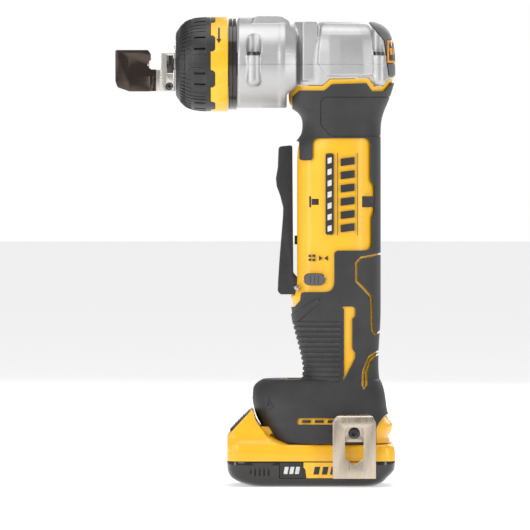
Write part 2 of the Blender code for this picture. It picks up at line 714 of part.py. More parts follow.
def make_rear_bumper():
    block = [
        (z, front, rear, half) for z, front, rear, half in handle_sections()[-13:]
    ]
    bumper = loft("rear_bumper", [rounded_ring(z, f, r, h, 2.7, 20) for z, f, r, h in block])
    plate_zone = box("plate_zone", (BLOCK_REAR - 5.5, -FAR, HEAD_Z + 0.8), (FAR, FAR, HEAD_Z + 16.2))
    badge = copy_of(bumper, "rear_badge")
    core = loft("badge_core", [rounded_ring(z, f + 1.6, r - 1.6, h - 1.6, 2.7, 20) for z, f, r, h in block])
    keep(bumper, bumper_region("bumper_keep", 0))
    seat = copy_of(plate_zone, "seat")
    cut(seat, loft("seat_core", [rounded_ring(z, f + 1.9, r - 1.9, h - 1.9, 2.7, 20) for z, f, r, h in block]))
    cut(bumper, seat)
    keep(badge, box("badge_zone", (BLOCK_REAR - 5.2, -FAR, HEAD_Z + 1.1), (FAR, FAR, HEAD_Z + 15.9)))
    cut(badge, core)
    bpy.data.objects.remove(plate_zone, do_unlink=True)
    finish(bumper, "rear_bumper", GREY_PLASTIC)
    finish(badge, "rear_badge", BLACK_PLASTIC)


# --- nibbling head -------------------------------------------------------------------------------


def tab_outline(grow):
    """One collar tab, as (x, across) seen from outside."""
    half = math.radians(10.4) * COLLAR_RADIUS + grow
    return [(COLLAR_REAR - 4, -half), (COLLAR_REAR + TAB_DEPTH + grow - 1.2, -half),
            (COLLAR_REAR + TAB_DEPTH + grow, -half + 1.2), (COLLAR_REAR + TAB_DEPTH + grow, half - 1.2),
            (COLLAR_REAR + TAB_DEPTH + grow - 1.2, half), (COLLAR_REAR - 4, half)]


def tab_blocks(grow, low, high):
    """The tabs all round, as blocks from one radius to another."""
    blocks = []
    for i in range(TAB_COUNT):
        turn = math.radians(-4 + 360 / TAB_COUNT * (i + 0.5) + 22.5)
        block = prism("tab", tab_outline(grow), "Z", low, high)
        block.data.transform(
            Matrix.Translation(Vector((0, 0, HEAD_Z * MM))) @ Matrix.Rotation(turn, 4, "X")
        )
        blocks.append(block)
    return blocks


def make_collar():
    face, full = COLLAR_FACE_RADIUS, COLLAR_RADIUS
    length = COLLAR_LENGTH
    outside = [
        (0, face - 1.2), (0.7, face + 0.3), (2.7, face + 3.0), (6.0, face + 5.4), (7.2, face + 6.8), (11.6, full - 1.2),
        (16.2, full - 0.5), (length - GAP, full - 0.2),
    ]
    inside = [(length - GAP, full - 7.6), (8.0, full - 7.6), (6.4, SPIGOT_RADIUS + 0.4), (0, SPIGOT_RADIUS + 0.4)]
    collar = turned("lock_collar", outside + inside, (COLLAR_FRONT, 0, HEAD_Z), "X", 32)
    band = [
        (0, full - 6.8), (0, full - 0.4), (0.4, full), (COLLAR_RING_LENGTH - 0.6, full),
        (COLLAR_RING_LENGTH, full - 0.6), (COLLAR_RING_LENGTH, full - 6.8),
    ]
    ring = turned("collar_ring", band, (COLLAR_REAR, 0, HEAD_Z), "X", 32)
    cut(ring, *tab_blocks(GAP, full - 3.8, full + 5))
    tab_ring = turned(
        "tab_ring", [(-2, full - 2.6), (-2, full - 0.2), (5, full - 0.2), (5, full - 2.6)],
        (COLLAR_REAR, 0, HEAD_Z), "X", 32,
    )
    tabs = tab_blocks(0, full - 6, full + 5)
    blocks = join(tabs[0], *tabs[1:])
    keep(blocks, tab_ring)
    join(collar, blocks)
    for i in range(TAB_COUNT):
        turn = 2 * math.pi * (i + 0.5) / TAB_COUNT + math.radians(18.5)
        groove = box("grip_groove", (COLLAR_FRONT + 13.4, -1.0, full - 2.6), (COLLAR_REAR - 1.4, 1.0, full + 3))
        groove.data.transform(
            Matrix.Translation(Vector((0, 0, HEAD_Z * MM))) @ Matrix.Rotation(turn, 4, "X")
        )
        cut(collar, groove)
    pivoted(finish(collar, "lock_collar", BLACK_PLASTIC), (COLLAR_FRONT, 0, HEAD_Z))
    pivoted(finish(ring, "collar_ring", YELLOW_PLASTIC), (COLLAR_REAR, 0, HEAD_Z))


def make_front_ring():
    bore = JOURNAL_RADIUS + RUN
    profile = [
        (0, bore), (0, COLLAR_RADIUS - 1.8), (0.6, COLLAR_RADIUS - 1.1), (FRONT_RING_LENGTH - GAP, COLLAR_RADIUS - 1.1),
        (FRONT_RING_LENGTH - GAP, bore),
    ]
    smooth(turned("front_ring", profile, (RING_FRONT, 0, HEAD_Z), "X", 32, BLACK_PLASTIC))


def make_spigot():
    front = COLLAR_FRONT - 0.2
    bore = HOLDER_RADIUS + RUN
    flange = RING_FRONT - 0.6
    profile = [
        (front, bore), (front, SPIGOT_RADIUS), (COLLAR_FRONT + 5.8, SPIGOT_RADIUS), (COLLAR_FRONT + 5.8, JOURNAL_RADIUS),
        (flange - 4, JOURNAL_RADIUS), (flange - 4, JOURNAL_RADIUS + 6.5), (flange, JOURNAL_RADIUS + 6.5),
        (flange, JOURNAL_RADIUS), (CASE_FRONT - 0.8, JOURNAL_RADIUS), (CASE_FRONT - 0.8, bore),
    ]
    smooth(turned("head_spigot", profile, (0, 0, HEAD_Z), "X", 24, STEEL))


def make_collar_spring():
    """A helical spring that turns the collar back, round the spigot's journal."""
    start, end = COLLAR_FRONT + 7.4, RING_FRONT - 6.4
    turns, per_turn, mean = 3, 12, JOURNAL_RADIUS + 3.4
    curve = bpy.data.curves.new("collar_spring", "CURVE")
    curve.dimensions = "3D"
    curve.bevel_depth = 1.0 * MM
    curve.bevel_resolution = 1
    curve.use_fill_caps = True
    spline = curve.splines.new("POLY")
    count = turns * per_turn + 1
    spline.points.add(count - 1)
    for i in range(count):
        angle = 2 * math.pi * i / per_turn
        x = start + 1 + (end - start - 2) * i / (count - 1)
        point = Vector((x, mean * math.cos(angle), HEAD_Z + mean * math.sin(angle))) * MM
        spline.points[i].co = (*point, 1.0)
    spring = bpy.data.objects.new("collar_spring", curve)
    bpy.context.scene.collection.objects.link(spring)
    curve.materials.append(material_of(STEEL))


def make_die_carrier():
    """The C-shaped head: nose block, lower arm and die plate, open at the throat above the arm."""
    bottom, top = HEAD_Z - 18.4, HEAD_Z + 9.6
    arm_top = HEAD_Z - 3.2
    half = DIE_PLATE_WIDTH / 2
    plate = prism("plate", filleted([
        (PLATE_LEFT, top, 0.8), (PLATE_RIGHT - 1.9, top), (PLATE_RIGHT, top - 2.4), (PLATE_RIGHT, arm_top, 0),
        (PLATE_RIGHT, bottom), (PLATE_LEFT + 9.5, bottom), (PLATE_LEFT + 1.6, bottom + 2.6), (PLATE_LEFT, bottom + 5, 0),
    ]), "Y", -half, half)
    arm = box("arm", (PLATE_RIGHT - 4, -half + 2.6, bottom), (NOSE_REAR - 1, half - 2.6, arm_top))
    nose_half = NOSE_WIDTH / 2
    nose_top = HEAD_Z + 13.0
    nose = prism("nose", filleted([
        (NOSE_FRONT, HEAD_Z - 12.5), (NOSE_FRONT, nose_top - 3.4), (NOSE_FRONT + 3.0, nose_top - 0.8),
        (NOSE_REAR, nose_top), (NOSE_REAR, bottom), (NOSE_FRONT + 1.8, bottom),
    ]), "Y", -nose_half, nose_half)
    edges = [
        [(-nose_half - 1, nose_top - 6), (-nose_half + 5.5, nose_top + 1), (-nose_half - 1, nose_top + 1)],
        [(nose_half + 1, nose_top - 6), (nose_half - 5.5, nose_top + 1), (nose_half + 1, nose_top + 1)],
    ]
    cut(nose, *[prism("edge_cut", edge, "X", NOSE_FRONT - 5, NOSE_REAR + 5) for edge in edges])
    join(plate, arm, nose)
    notch = rod("notch", (PLATE_RIGHT + 0.8, -half - 5, HEAD_Z - 0.2), (PLATE_RIGHT + 0.8, half + 5, HEAD_Z - 0.2), 3.0, 20)
    pocket = filleted([
        (PLATE_LEFT + 9.2, HEAD_Z + 5.4, 3), (PLATE_RIGHT + 2, HEAD_Z + 5.4), (PLATE_RIGHT + 2, HEAD_Z - 8.0),
        (PLATE_LEFT + 9.2, HEAD_Z - 8.0, 3),
    ])
    window = (NOSE_FRONT + 3.7, NOSE_FRONT + 9.0 - 0.6, 6.3)
    shank_end = NOSE_FRONT + 5.6 - STROKE - 0.8
    cut(
        plate, notch,
        prism("left_pocket", pocket, "Y", -half - 4, -half + 0.9),
        prism("right_pocket", pocket, "Y", half - 0.9, half + 4),
        box("guide_window", (window[0], -nose_half - 4, HEAD_Z - window[2]), (window[1], nose_half + 4, HEAD_Z + window[2])),
        rod("shank_way", (shank_end, 0, HEAD_Z), (NOSE_REAR + 2, 0, HEAD_Z), SHANK_RADIUS + RUN, 20),
        rod("slug_way", (PLATE_LEFT - 3, 0, HEAD_Z), (PLATE_RIGHT - 1, 0, HEAD_Z), PUNCH_RADIUS + 0.9, 16),
        rod("insert_seat", (PLATE_RIGHT - 8.2, 0, HEAD_Z), (PLATE_RIGHT + 3, 0, HEAD_Z), 4.6, 20),
        rod("clamp_way", (NOSE_FRONT + 5.6, -nose_half - 3, HEAD_Z - 14.8), (NOSE_FRONT + 5.6, 0.5, HEAD_Z - 14.8), 2.6, 16),
    )
    finish(plate, "die_carrier", DARK_STEEL)
    low, high, tall = window
    guide = box("punch_guide", (low + GAP, -nose_half + 0.8, HEAD_Z - tall + GAP), (high - GAP, nose_half - 0.8, HEAD_Z + tall - GAP))
    cut(guide, rod("guide_bore", (low - 3, 0, HEAD_Z), (high + 3, 0, HEAD_Z), SHANK_RADIUS + RUN, 20))
    finish(guide, "punch_guide", BLACK_PLASTIC)
    smooth(turned(
        "die_insert",
        [(0, PUNCH_RADIUS + 0.15), (0, 4.3), (6.9, 4.3), (6.9, PUNCH_RADIUS + 0.15)],
        (PLATE_RIGHT - 7.9, 0, HEAD_Z), "X", 14, STEEL,
    ))
    screw_head = 0.6 - nose_half
    smooth(turned(
        "clamp_screw",
        [(8.6, 0), (8.6, 2.3), (0.4, 2.3), (0, 1.9), (0, 1.2), (2.0, 1.2), (2.0, 0)],
        (NOSE_FRONT + 5.6, screw_head, HEAD_Z - 14.8), "Y", 12, DARK_STEEL,
    ))


def make_punch_and_ram():
    """The punch turns with the head. The ram pushes it through a turned knob that lets it swivel."""
    tail = NOSE_REAR + 17.0
    cup = tail + 9.0
    punch = turned(
        "punch",
        [(NOSE_FRONT + 0.2, 0), (NOSE_FRONT + 0.2, PUNCH_RADIUS), (NOSE_FRONT + 4.6, PUNCH_RADIUS),
         (NOSE_FRONT + 5.6, SHANK_RADIUS), (NOSE_REAR + 11.6, SHANK_RADIUS), (NOSE_REAR + 12.6, HOLDER_RADIUS),
         (cup, HOLDER_RADIUS), (cup, 4.2), (cup - 2.2, 4.2), (cup - 2.2, 6.2), (tail + 2.0, 6.2), (tail + 2.0, 0)],
        (0, 0, HEAD_Z), "X", 24, STEEL,
    )
    pivoted(smooth(punch), (NOSE_FRONT, 0, HEAD_Z))
    knob = tail + 2.5
    pin_x = MOTOR_X + STROKE / 2
    yoke_front, yoke_rear = pin_x - YOKE_HALF_LENGTH, pin_x + YOKE_HALF_LENGTH
    ram = turned(
        "ram",
        [(knob, 0), (knob, 5.8), (cup - 2.6, 5.8), (cup - 2.6, 3.8), (cup + 0.5, 3.8), (cup + 0.5, RAM_RADIUS),
         (yoke_front + 2, RAM_RADIUS), (yoke_front + 2, 0)],
        (0, 0, HEAD_Z), "X", 20, STEEL,
    )
    yoke = box("yoke", (yoke_front, -YOKE_HALF_WIDTH, HEAD_Z - 6.5), (yoke_rear, YOKE_HALF_WIDTH, HEAD_Z + 6.5), bevel=1.0)
    join(ram, yoke)
    cut(ram, yoke_slot(pin_x))
    pivoted(finish(ram, "ram", STEEL), (pin_x, 0, HEAD_Z))


def yoke_slot(pin_x):
    """The crosswise slot that the crank pin works in."""
    outline = [(x + pin_x, y) for y, x in oval((0, 0), 2 * YOKE_HALF_WIDTH - 6.2, 8.6)]
    return prism("yoke_slot", outline, "Z", HEAD_Z - 20, HEAD_Z + 2.4)


# --- drive ---------------------------------------------------------------------------------------


def gear_outline(teeth, inner=False, phase=0.0, backlash=0.16):
    """Straight-flanked teeth of the shared module, as (x, y) about the gear's own axis."""
    pitch = GEAR_MODULE * teeth / 2
    addendum, dedendum = GEAR_MODULE * 0.9, GEAR_MODULE * 1.2
    step = 2 * math.pi / teeth
    if inner:
        tip, root = pitch - addendum, pitch + dedendum
        tip_half = step / 4 - (0.30 * GEAR_MODULE + backlash) / pitch
        root_half = step / 4 + (0.28 * GEAR_MODULE - backlash) / pitch
    else:
        tip, root = pitch + addendum, pitch - dedendum
        tip_half = step / 4 - (0.36 * GEAR_MODULE + backlash) / pitch
        root_half = step / 4 + (0.36 * GEAR_MODULE - backlash) / pitch
    outline = []
    for i in range(teeth):
        middle = step * i + phase
        for radius, angle in ((root, -root_half), (tip, -tip_half), (tip, tip_half), (root, root_half)):
            outline.append((radius * math.cos(middle + angle), radius * math.sin(middle + angle)))
    return outline


def at_place(outline, centre):
    return [(x + centre[0], y + centre[1]) for x, y in outline]


def make_gears():
    axis = (MOTOR_X, 0.0)
    orbit = GEAR_MODULE * (SUN_TEETH + PLANET_TEETH) / 2
    low, high = GEAR_Z, GEAR_Z + GEAR_FACE
    ring = rod("ring_gear", (MOTOR_X, 0, low - 3.6), (MOTOR_X, 0, high), MOTOR_RADIUS - 0.9, 36)
    half_tooth = math.pi / RING_TEETH
    cut(ring, prism("ring_teeth", at_place(gear_outline(RING_TEETH, True, half_tooth), axis), "Z", low - 0.5, high + 5))
    cut(ring, rod("web_bore", (MOTOR_X, 0, low - 9), (MOTOR_X, 0, low + 3), 8.3, 24))
    finish(ring, "ring_gear", STEEL)
    for i in range(PLANET_COUNT):
        angle = 2 * math.pi * i / PLANET_COUNT
        place = (MOTOR_X + orbit * math.cos(angle), orbit * math.sin(angle))
        # A planet tooth points outwards at a ring space, and the turn between places keeps it in mesh.
        phase = planet_phase(angle)
        planet = prism(f"planet_gear_{i + 1}", at_place(gear_outline(PLANET_TEETH, phase=phase), place), "Z", low, high - 0.4)
        cut(planet, rod("planet_bore", (*place, low - 3), (*place, high + 3), 2.35, 14))
        pivoted(finish(planet, f"planet_gear_{i + 1}", STEEL), (*place, low))
    return orbit


def planet_phase(angle):
    """The turn of a planet's first tooth that keeps it in mesh at this place round the ring."""
    return angle - (angle * RING_TEETH / PLANET_TEETH)


def make_rotor(orbit):
    low, high = GEAR_Z, GEAR_Z + GEAR_FACE
    sun_phase = math.pi / SUN_TEETH if PLANET_TEETH % 2 == 0 else 0.0
    sun = prism("rotor_shaft", at_place(gear_outline(SUN_TEETH, phase=sun_phase), (MOTOR_X, 0)), "Z", low, high - 0.4)
    join(sun, rod("shaft", (MOTOR_X, 0, GEAR_Z - 61), (MOTOR_X, 0, low + 2), SHAFT_RADIUS, 16))
    pivoted(finish(sun, "rotor_shaft", STEEL), (MOTOR_X, 0, low))
    centre = (MOTOR_X, 0, 0)
    bore = SHAFT_RADIUS + GAP
    pivoted(smooth(turned(
        "motor_rotor",
        [(GEAR_Z - 41, bore), (GEAR_Z - 41, ROTOR_RADIUS), (GEAR_Z - 14, ROTOR_RADIUS), (GEAR_Z - 14, bore)],
        centre, "Z", 20, DARK_STEEL)), (MOTOR_X, 0, GEAR_Z - 41))
    for name, z in (("motor_bearing_front", GEAR_Z - 5.6), ("motor_bearing_rear", GEAR_Z - 60)):
        smooth(turned(name, [(z, bore), (z, 8.0), (z + 5, 8.0), (z + 5, bore)], centre, "Z", 18, STEEL))
    fan = turned(
        "cooling_fan",
        [(GEAR_Z - 53, bore), (GEAR_Z - 53, MOTOR_RADIUS - 1), (GEAR_Z - 51.6, MOTOR_RADIUS - 1),
         (GEAR_Z - 51.6, 6), (GEAR_Z - 44, 6), (GEAR_Z - 44, bore)],
        centre, "Z", 28,
    )
    blades = 7
    for i in range(blades):
        blade = box("blade", (5.5, -0.7, GEAR_Z - 52), (MOTOR_RADIUS - 1.6, 0.7, GEAR_Z - 45))
        blade.data.transform(
            Matrix.Translation(Vector((MOTOR_X * MM, 0, 0))) @ Matrix.Rotation(2 * math.pi * (i + 0.31) / blades, 4, "Z")
        )
        join(fan, blade)
    pivoted(finish(fan, "cooling_fan", BLACK_PLASTIC), (MOTOR_X, 0, GEAR_Z - 53))


def make_stator():
    low, high = GEAR_Z - 40, GEAR_Z - 15
    outline = []
    teeth = 6
    reach = ROTOR_RADIUS + 0.8
    for i in range(teeth):
        middle = 2 * math.pi * i / teeth
        slot = MOTOR_RADIUS - 3.4
        for radius, angle in ((slot, -18), (reach, -20), (reach, -7), (reach, 7), (reach, 20), (slot, 18), (slot, 30)):
            outline.append((
                MOTOR_X + radius * math.cos(middle + math.radians(angle)),
                radius * math.sin(middle + math.radians(angle)),
            ))
    stator = rod("motor_stator", (MOTOR_X, 0, low), (MOTOR_X, 0, high), MOTOR_RADIUS, 36)
    cut(stator, prism("stator_bore", outline, "Z", low - 5, high + 5))
    finish(stator, "motor_stator", DARK_STEEL)


def make_crank(orbit):
    """The planet carrier, its shaft and the eccentric pin that works in the ram's yoke."""
    centre = (MOTOR_X, 0, 0)
    disc = HEAD_Z - 18.2
    crank = turned(
        "crank",
        [(CARRIER_Z, 0), (CARRIER_Z, MOTOR_RADIUS - 4.8), (CARRIER_Z + 2.4, MOTOR_RADIUS - 4.8), (CARRIER_Z + 2.4, 7.0), (disc - 0.2, 7.0),
         (disc - 0.2, MOTOR_RADIUS - 6), (disc + 5.6, MOTOR_RADIUS - 6), (disc + 5.6, 0)],
        centre, "Z", 24,
    )
    for i in range(PLANET_COUNT):
        angle = 2 * math.pi * i / PLANET_COUNT
        x, y = MOTOR_X + orbit * math.cos(angle), orbit * math.sin(angle)
        join(crank, rod("planet_pin", (x, y, GEAR_Z + 0.5), (x, y, CARRIER_Z + 1), 2.05, 14))
    # The pin stops short of the yoke: the crank and the ram are separate joints here.
    pin_x = MOTOR_X + STROKE / 2
    join(crank, rod("crank_pin", (pin_x, 0, disc + 4), (pin_x, 0, HEAD_Z - RAM_RADIUS - 0.5), 4.0, 20))
    pivoted(finish(crank, "crank", STEEL), (MOTOR_X, 0, CARRIER_Z))
    low, high = CARRIER_Z + 2.9, disc - 0.7
    inner, outer = 7.35, MOTOR_RADIUS - 1.8
    smooth(turned("crank_bearing", [(low, inner), (low, outer), (high, outer), (high, inner)], centre, "Z", 28, STEEL))


# --- controls ------------------------------------------------------------------------------------


def make_paddle():
    half = PADDLE_WIDTH / 2
    low, high = PADDLE_BOTTOM, PADDLE_TOP
    front = BODY_FRONT
    length = high - low
    outline = filleted([
        (front + 1.0, high), (front - 9.2, high - 1.0, 1.5), (front - 9.9, low + 0.855 * length),
        (front - 11.1, low + 0.784 * length, 6), (front - 8.4, low + 0.668 * length, 6),
        (front - 6.2, low + 0.578 * length, 8), (front - 6.6, low + 0.47 * length, 8),
        (front - 8.6, low + 0.252 * length), (front - 10.0, low + 2.2, 2), (front - 9.0, low, 1),
        (front + 6.0, low), (front + 6.0, low + 9), (front + 1.0, low + 15),
    ])
    paddle = prism("paddle_trigger", outline, "Y", -half, half)
    cut(paddle, rod("pin_way", (PIVOT_X, -half - 3, PIVOT_Z), (PIVOT_X, half + 3, PIVOT_Z), 1.9, 14))
    pivoted(finish(paddle, "paddle_trigger", BLACK_PLASTIC), (PIVOT_X, 0, PIVOT_Z))
    finish(paddle_pin("paddle_pin"), "paddle_pin", STEEL)
    switch_front = front + 13.0
    switch = box("trigger_switch", (switch_front, -9, PLUNGER_Z - 18), (HANDLE_X + 7, 9, PLUNGER_Z + 9), bevel=0.8)
    cut(switch, rod("plunger_way", (switch_front - 3, 0, PLUNGER_Z), (switch_front + 12, 0, PLUNGER_Z), PLUNGER_RADIUS + RUN, 16))
    finish(switch, "trigger_switch", BLACK_PLASTIC)
    plunger = rod("switch_plunger", (front + 1.4, 0, PLUNGER_Z), (switch_front + 7, 0, PLUNGER_Z), PLUNGER_RADIUS, 16, GREY_PLASTIC)
    pivoted(smooth(plunger), (front + 1.4, 0, PLUNGER_Z))


def make_button():
    half = BODY_WIDTH / 2 + 1.2
    button = prism("selector_button", oval((BUTTON_X, BUTTON_Z), BUTTON_LENGTH, BUTTON_HEIGHT), "Y", -half, half)
    pivoted(finish(button, "selector_button", GREY_PLASTIC), (BUTTON_X, 0, BUTTON_Z))


def make_inside_parts():
    finish(box("control_module", (4.5, -11.5, FOOT_TOP + 8), (HANDLE_X + 14, 11.5, BUTTON_Z - 17), bevel=1.0),
           "control_module", DARK_STEEL)
    block = box("terminal_block", (RAIL_REAR + 1, -20, BATTERY_TOP + 1.5), (RAIL_REAR + 11.4, 20, RAIL_TOP - 0.4), bevel=0.6)
    for y in (-15, -7.5, 0, 7.5, 15):
        join(block, box("blade", (RAIL_REAR - 9, y - 0.4, BATTERY_TOP + 3.5), (RAIL_REAR + 2, y + 0.4, RAIL_TOP - 3)))
    finish(block, "terminal_block", BLACK_PLASTIC)
    finish(lens_box("led_lens"), "led_lens", CLEAR_PLASTIC)
    for i, (x, z, seat) in enumerate(screw_places(), 1):
        screw = turned(
            f"shell_screw_{i}",
            [(-10, 0), (-10, 1.5), (seat, 1.5), (seat, 3.0), (seat + 2.4, 3.0), (seat + 2.4, 1.2), (seat + 1.2, 0)],
            (x, 0, z), "Y", 10, DARK_STEEL,
        )
        smooth(screw)


def make_belt_hook():
    """A bent strip screwed to the foot's side, hanging clear of the battery for a belt."""
    near = -(FOOT_WIDTH / 2) - 0.6
    out = near - 10.0
    high, low = 49.3, 5.8
    thick = HOOK_THICK
    outline = filleted([
        (near, 30.0), (near, 44.6, 3.6), (near - 3.4, high, 3.6), (out, high - 1.2, 4), (out, low), (out + thick, low),
        (out + thick, high - 2.4, 3), (near - 3.4 - 0.4, high - thick, 2.4), (near - thick, 44.0, 2.4), (near - thick, 30.0),
    ], 4)
    half = HOOK_WIDTH / 2
    strip = prism("belt_hook", outline, "X", HOOK_X - half, HOOK_X + half)
    slot = filleted([
        (HOOK_X - 6.2, 40.2, 2), (HOOK_X + 6.2, 40.2, 2), (HOOK_X + 6.2, 19.4), (HOOK_X, 14.8), (HOOK_X - 6.2, 19.4),
    ])
    corners = [
        [(HOOK_X + s * (half + 1), high + 5), (HOOK_X + s * (half - 6), high + 5), (HOOK_X + s * (half - 6), high - 0.1),
         (HOOK_X + s * (half - 2.2), high - 2.0), (HOOK_X + s * half, high - 6), (HOOK_X + s * (half + 1), high - 6)]
        for s in (-1, 1)
    ]
    cut(
        strip,
        prism("hook_slot", slot, "Y", out - 3, out + 4),
        rod("hook_hole", (HOOK_X, near - 4, 36.0), (HOOK_X, near + 3, 36.0), 2.4, 14),
        *[prism("hook_corner", c, "Y", out - 5, near + 5) for c in corners],
    )
    finish(strip, "belt_hook", NICKEL)
    smooth(turned(
        "belt_hook_screw",
        [(0, 0), (0, 2.1), (-7.8, 2.1), (-7.8, 4.0), (-9.6, 3.4), (-9.6, 1.4), (-8.6, 1.4), (-8.6, 0)],
        (HOOK_X, near + 6, 36.0), "Y", 12, DARK_STEEL,
    ))


# --- battery -------------------------------------------------------------------------------------


def make_battery():
    half_long, half_wide = BATTERY_LENGTH / 2, BATTERY_WIDTH / 2
    seam = LOWER_CASE_HEIGHT
    count = 24
    lower = loft("battery_lower_case", [
        rounded_ring(0, -half_long + 16.5, half_long - 14.5, half_wide - 7, CASE_SQUARENESS, count),
        rounded_ring(2.0, -half_long + 10.5, half_long - 10.5, half_wide - 3, CASE_SQUARENESS, count),
        rounded_ring(6.0, -half_long + 2.6, half_long - 5.4, half_wide - 0.8, CASE_SQUARENESS, count),
        rounded_ring(11.0, -half_long + 0.4, half_long - 0.6, half_wide - 0.1, CASE_SQUARENESS, count),
        rounded_ring(seam, -half_long, half_long, half_wide, CASE_SQUARENESS, count),
    ])
    wall = CASE_WALL
    cut(lower, loft("lower_hollow", [
        rounded_ring(wall, -half_long + 10.5 + wall, half_long - 10.5 - wall, half_wide - 3 - wall, CASE_SQUARENESS, count),
        rounded_ring(7.0, -half_long + 2.6 + wall, half_long - 5.4 - wall, half_wide - 0.8 - wall, CASE_SQUARENESS, count),
        rounded_ring(seam + 5, -half_long + wall, half_long - wall, half_wide - wall, CASE_SQUARENESS, count),
    ]))
    finish(lower, "battery_lower_case", BLACK_PLASTIC)
    base = seam + GAP
    upper = loft("battery_upper_case", [
        rounded_ring(base, -half_long, half_long, half_wide, CASE_SQUARENESS, count),
        rounded_ring(24.0, -half_long, half_long, half_wide, CASE_SQUARENESS, count),
        rounded_ring(BATTERY_TOP - 0.6, -half_long + 0.2, half_long - 1.4, half_wide - 0.8, CASE_SQUARENESS, count),
        rounded_ring(BATTERY_TOP, -half_long + 0.8, half_long - 2.2, half_wide - 1.6, CASE_SQUARENESS, count),
    ])
    half_rail = RAIL_WIDTH / 2
    tower_half = half_wide - 7.5
    join(
        upper,
        box("rails", (RAIL_FRONT - 6, -half_rail, BATTERY_TOP - 2), (RAIL_REAR, half_rail, RAIL_TOP)),
        prism("tower", filleted([
            (-half_long + 0.2, BATTERY_TOP - 4), (-half_long, 33.0, 1.5), (-half_long + 4.5, 38.2),
            (-39.9, 51.8, 1.5), (-38.9, 50.0), (-37.2, 44), (-30.6, 35.0), (-26.2, 27)]), "Y", -tower_half, tower_half),
    )
    cut(upper, loft("upper_hollow", [
        rounded_ring(base - 5, -half_long + wall, half_long - wall, half_wide - wall, CASE_SQUARENESS, count),
        rounded_ring(BATTERY_TOP - wall - 0.6, -half_long + wall + 1, half_long - wall - 2, half_wide - wall - 1.4, CASE_SQUARENESS, count),
    ]))
    slots = [
        box("blade_slot", (RAIL_REAR - 10.5, y - 1.0, BATTERY_TOP + 2.6), (RAIL_REAR + 5, y + 1.0, RAIL_TOP + 5))
        for y in (-15, -7.5, 0, 7.5, 15)
    ]
    cut(upper, *slots)
    cut(upper, latch_solid(0.8, "latch_pocket", 4.0))
    finish(upper, "battery_upper_case", YELLOW_PLASTIC)
    finish(latch_solid(0.0, "battery_latch", 0.0), "battery_latch", BLACK_PLASTIC)
    pivoted(bpy.data.objects["battery_latch"], (-half_long + 9.0, 0, 40.0))
    pitch = 2 * CELL_RADIUS + 0.1
    for i in range(CELL_COUNT):
        x = (i - (CELL_COUNT - 1) / 2) * pitch - 1.5
        z = wall + 2.0 + CELL_RADIUS
        smooth(rod(f"battery_cell_{i + 1}", (x, -CELL_LENGTH / 2, z), (x, CELL_LENGTH / 2, z), CELL_RADIUS, 14, CELL_WRAP))


def latch_solid(grow, name, deep):
    """The release button on the battery's sloping front, or the pocket that it moves in."""
    half_long = BATTERY_LENGTH / 2
    slope = Vector((1, 0, 1)).normalized()
    into = Vector((1, 0, -1)).normalized()
    middle = Vector((-half_long + 9.2, 0, 43.2))
    points = []
    for along, depth in ((-9.5 - grow, -1.4 if not deep else -6), (9.5 + grow, -1.4 if not deep else -6),
                         (9.5 + grow, 5.0 + deep), (-9.5 - grow, 5.0 + deep)):
        point = middle + slope * along + into * depth
        points.append((point.x, point.z))
    half = 17.0 + grow
    return prism(name, filleted([(*p, 1.2 if not deep else 0) for p in points], 2), "Y", -half, half)


def main():
    clear_scene()
    make_battery()
    make_shells()
    make_overmolds()
    make_gear_case()
    make_rear_bumper()
    make_collar()
    make_front_ring()
    make_spigot()
    make_collar_spring()
    make_die_carrier()
    make_punch_and_ram()
    orbit = make_gears()
    make_rotor(orbit)
    make_stator()
    make_crank(orbit)
    make_paddle()
    make_button()
    make_inside_parts()
    make_belt_hook()


main()
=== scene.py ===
import json
import math
import bpy
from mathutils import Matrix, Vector

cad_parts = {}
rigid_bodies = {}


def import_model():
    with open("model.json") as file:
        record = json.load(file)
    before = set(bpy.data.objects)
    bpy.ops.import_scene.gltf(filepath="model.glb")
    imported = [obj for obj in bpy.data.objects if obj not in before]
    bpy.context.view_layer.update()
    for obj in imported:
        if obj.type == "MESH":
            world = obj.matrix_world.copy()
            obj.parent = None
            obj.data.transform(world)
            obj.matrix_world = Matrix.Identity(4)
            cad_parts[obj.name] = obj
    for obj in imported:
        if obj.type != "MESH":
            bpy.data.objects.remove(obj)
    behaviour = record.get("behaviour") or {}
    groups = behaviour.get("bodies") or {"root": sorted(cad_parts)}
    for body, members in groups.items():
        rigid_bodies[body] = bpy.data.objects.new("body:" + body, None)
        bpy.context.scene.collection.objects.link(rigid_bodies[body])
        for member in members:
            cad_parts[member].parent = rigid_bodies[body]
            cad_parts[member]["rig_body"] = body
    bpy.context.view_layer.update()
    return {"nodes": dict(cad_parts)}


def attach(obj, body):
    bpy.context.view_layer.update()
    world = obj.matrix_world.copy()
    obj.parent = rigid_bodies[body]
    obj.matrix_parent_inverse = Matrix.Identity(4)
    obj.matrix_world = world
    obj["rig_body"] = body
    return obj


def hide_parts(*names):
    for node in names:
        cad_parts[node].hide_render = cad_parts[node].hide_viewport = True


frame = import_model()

mm = 0.001
headZ = 283.6      # height of the punch's axis
cad = frame["nodes"]


# small helpers, each one a few strokes with the usual tools

def pickOnly(obj):
    bpy.ops.object.select_all(action="DESELECT")
    obj.select_set(True)
    bpy.context.view_layer.objects.active = obj


def startEdit(obj, mode="VERT"):
    pickOnly(obj)
    bpy.ops.object.mode_set(mode="EDIT")
    bpy.ops.mesh.select_mode(type=mode)
    bpy.ops.mesh.select_all(action="SELECT")


def endEdit():
    bpy.ops.object.mode_set(mode="OBJECT")


def cleanUp(obj, reach=0.01):
    startEdit(obj)
    bpy.ops.mesh.remove_doubles(threshold=reach * mm)
    bpy.ops.mesh.dissolve_degenerate(threshold=0.004 * mm)
    bpy.ops.mesh.select_all(action="SELECT")
    bpy.ops.mesh.normals_make_consistent(inside=False)
    endEdit()
    return obj


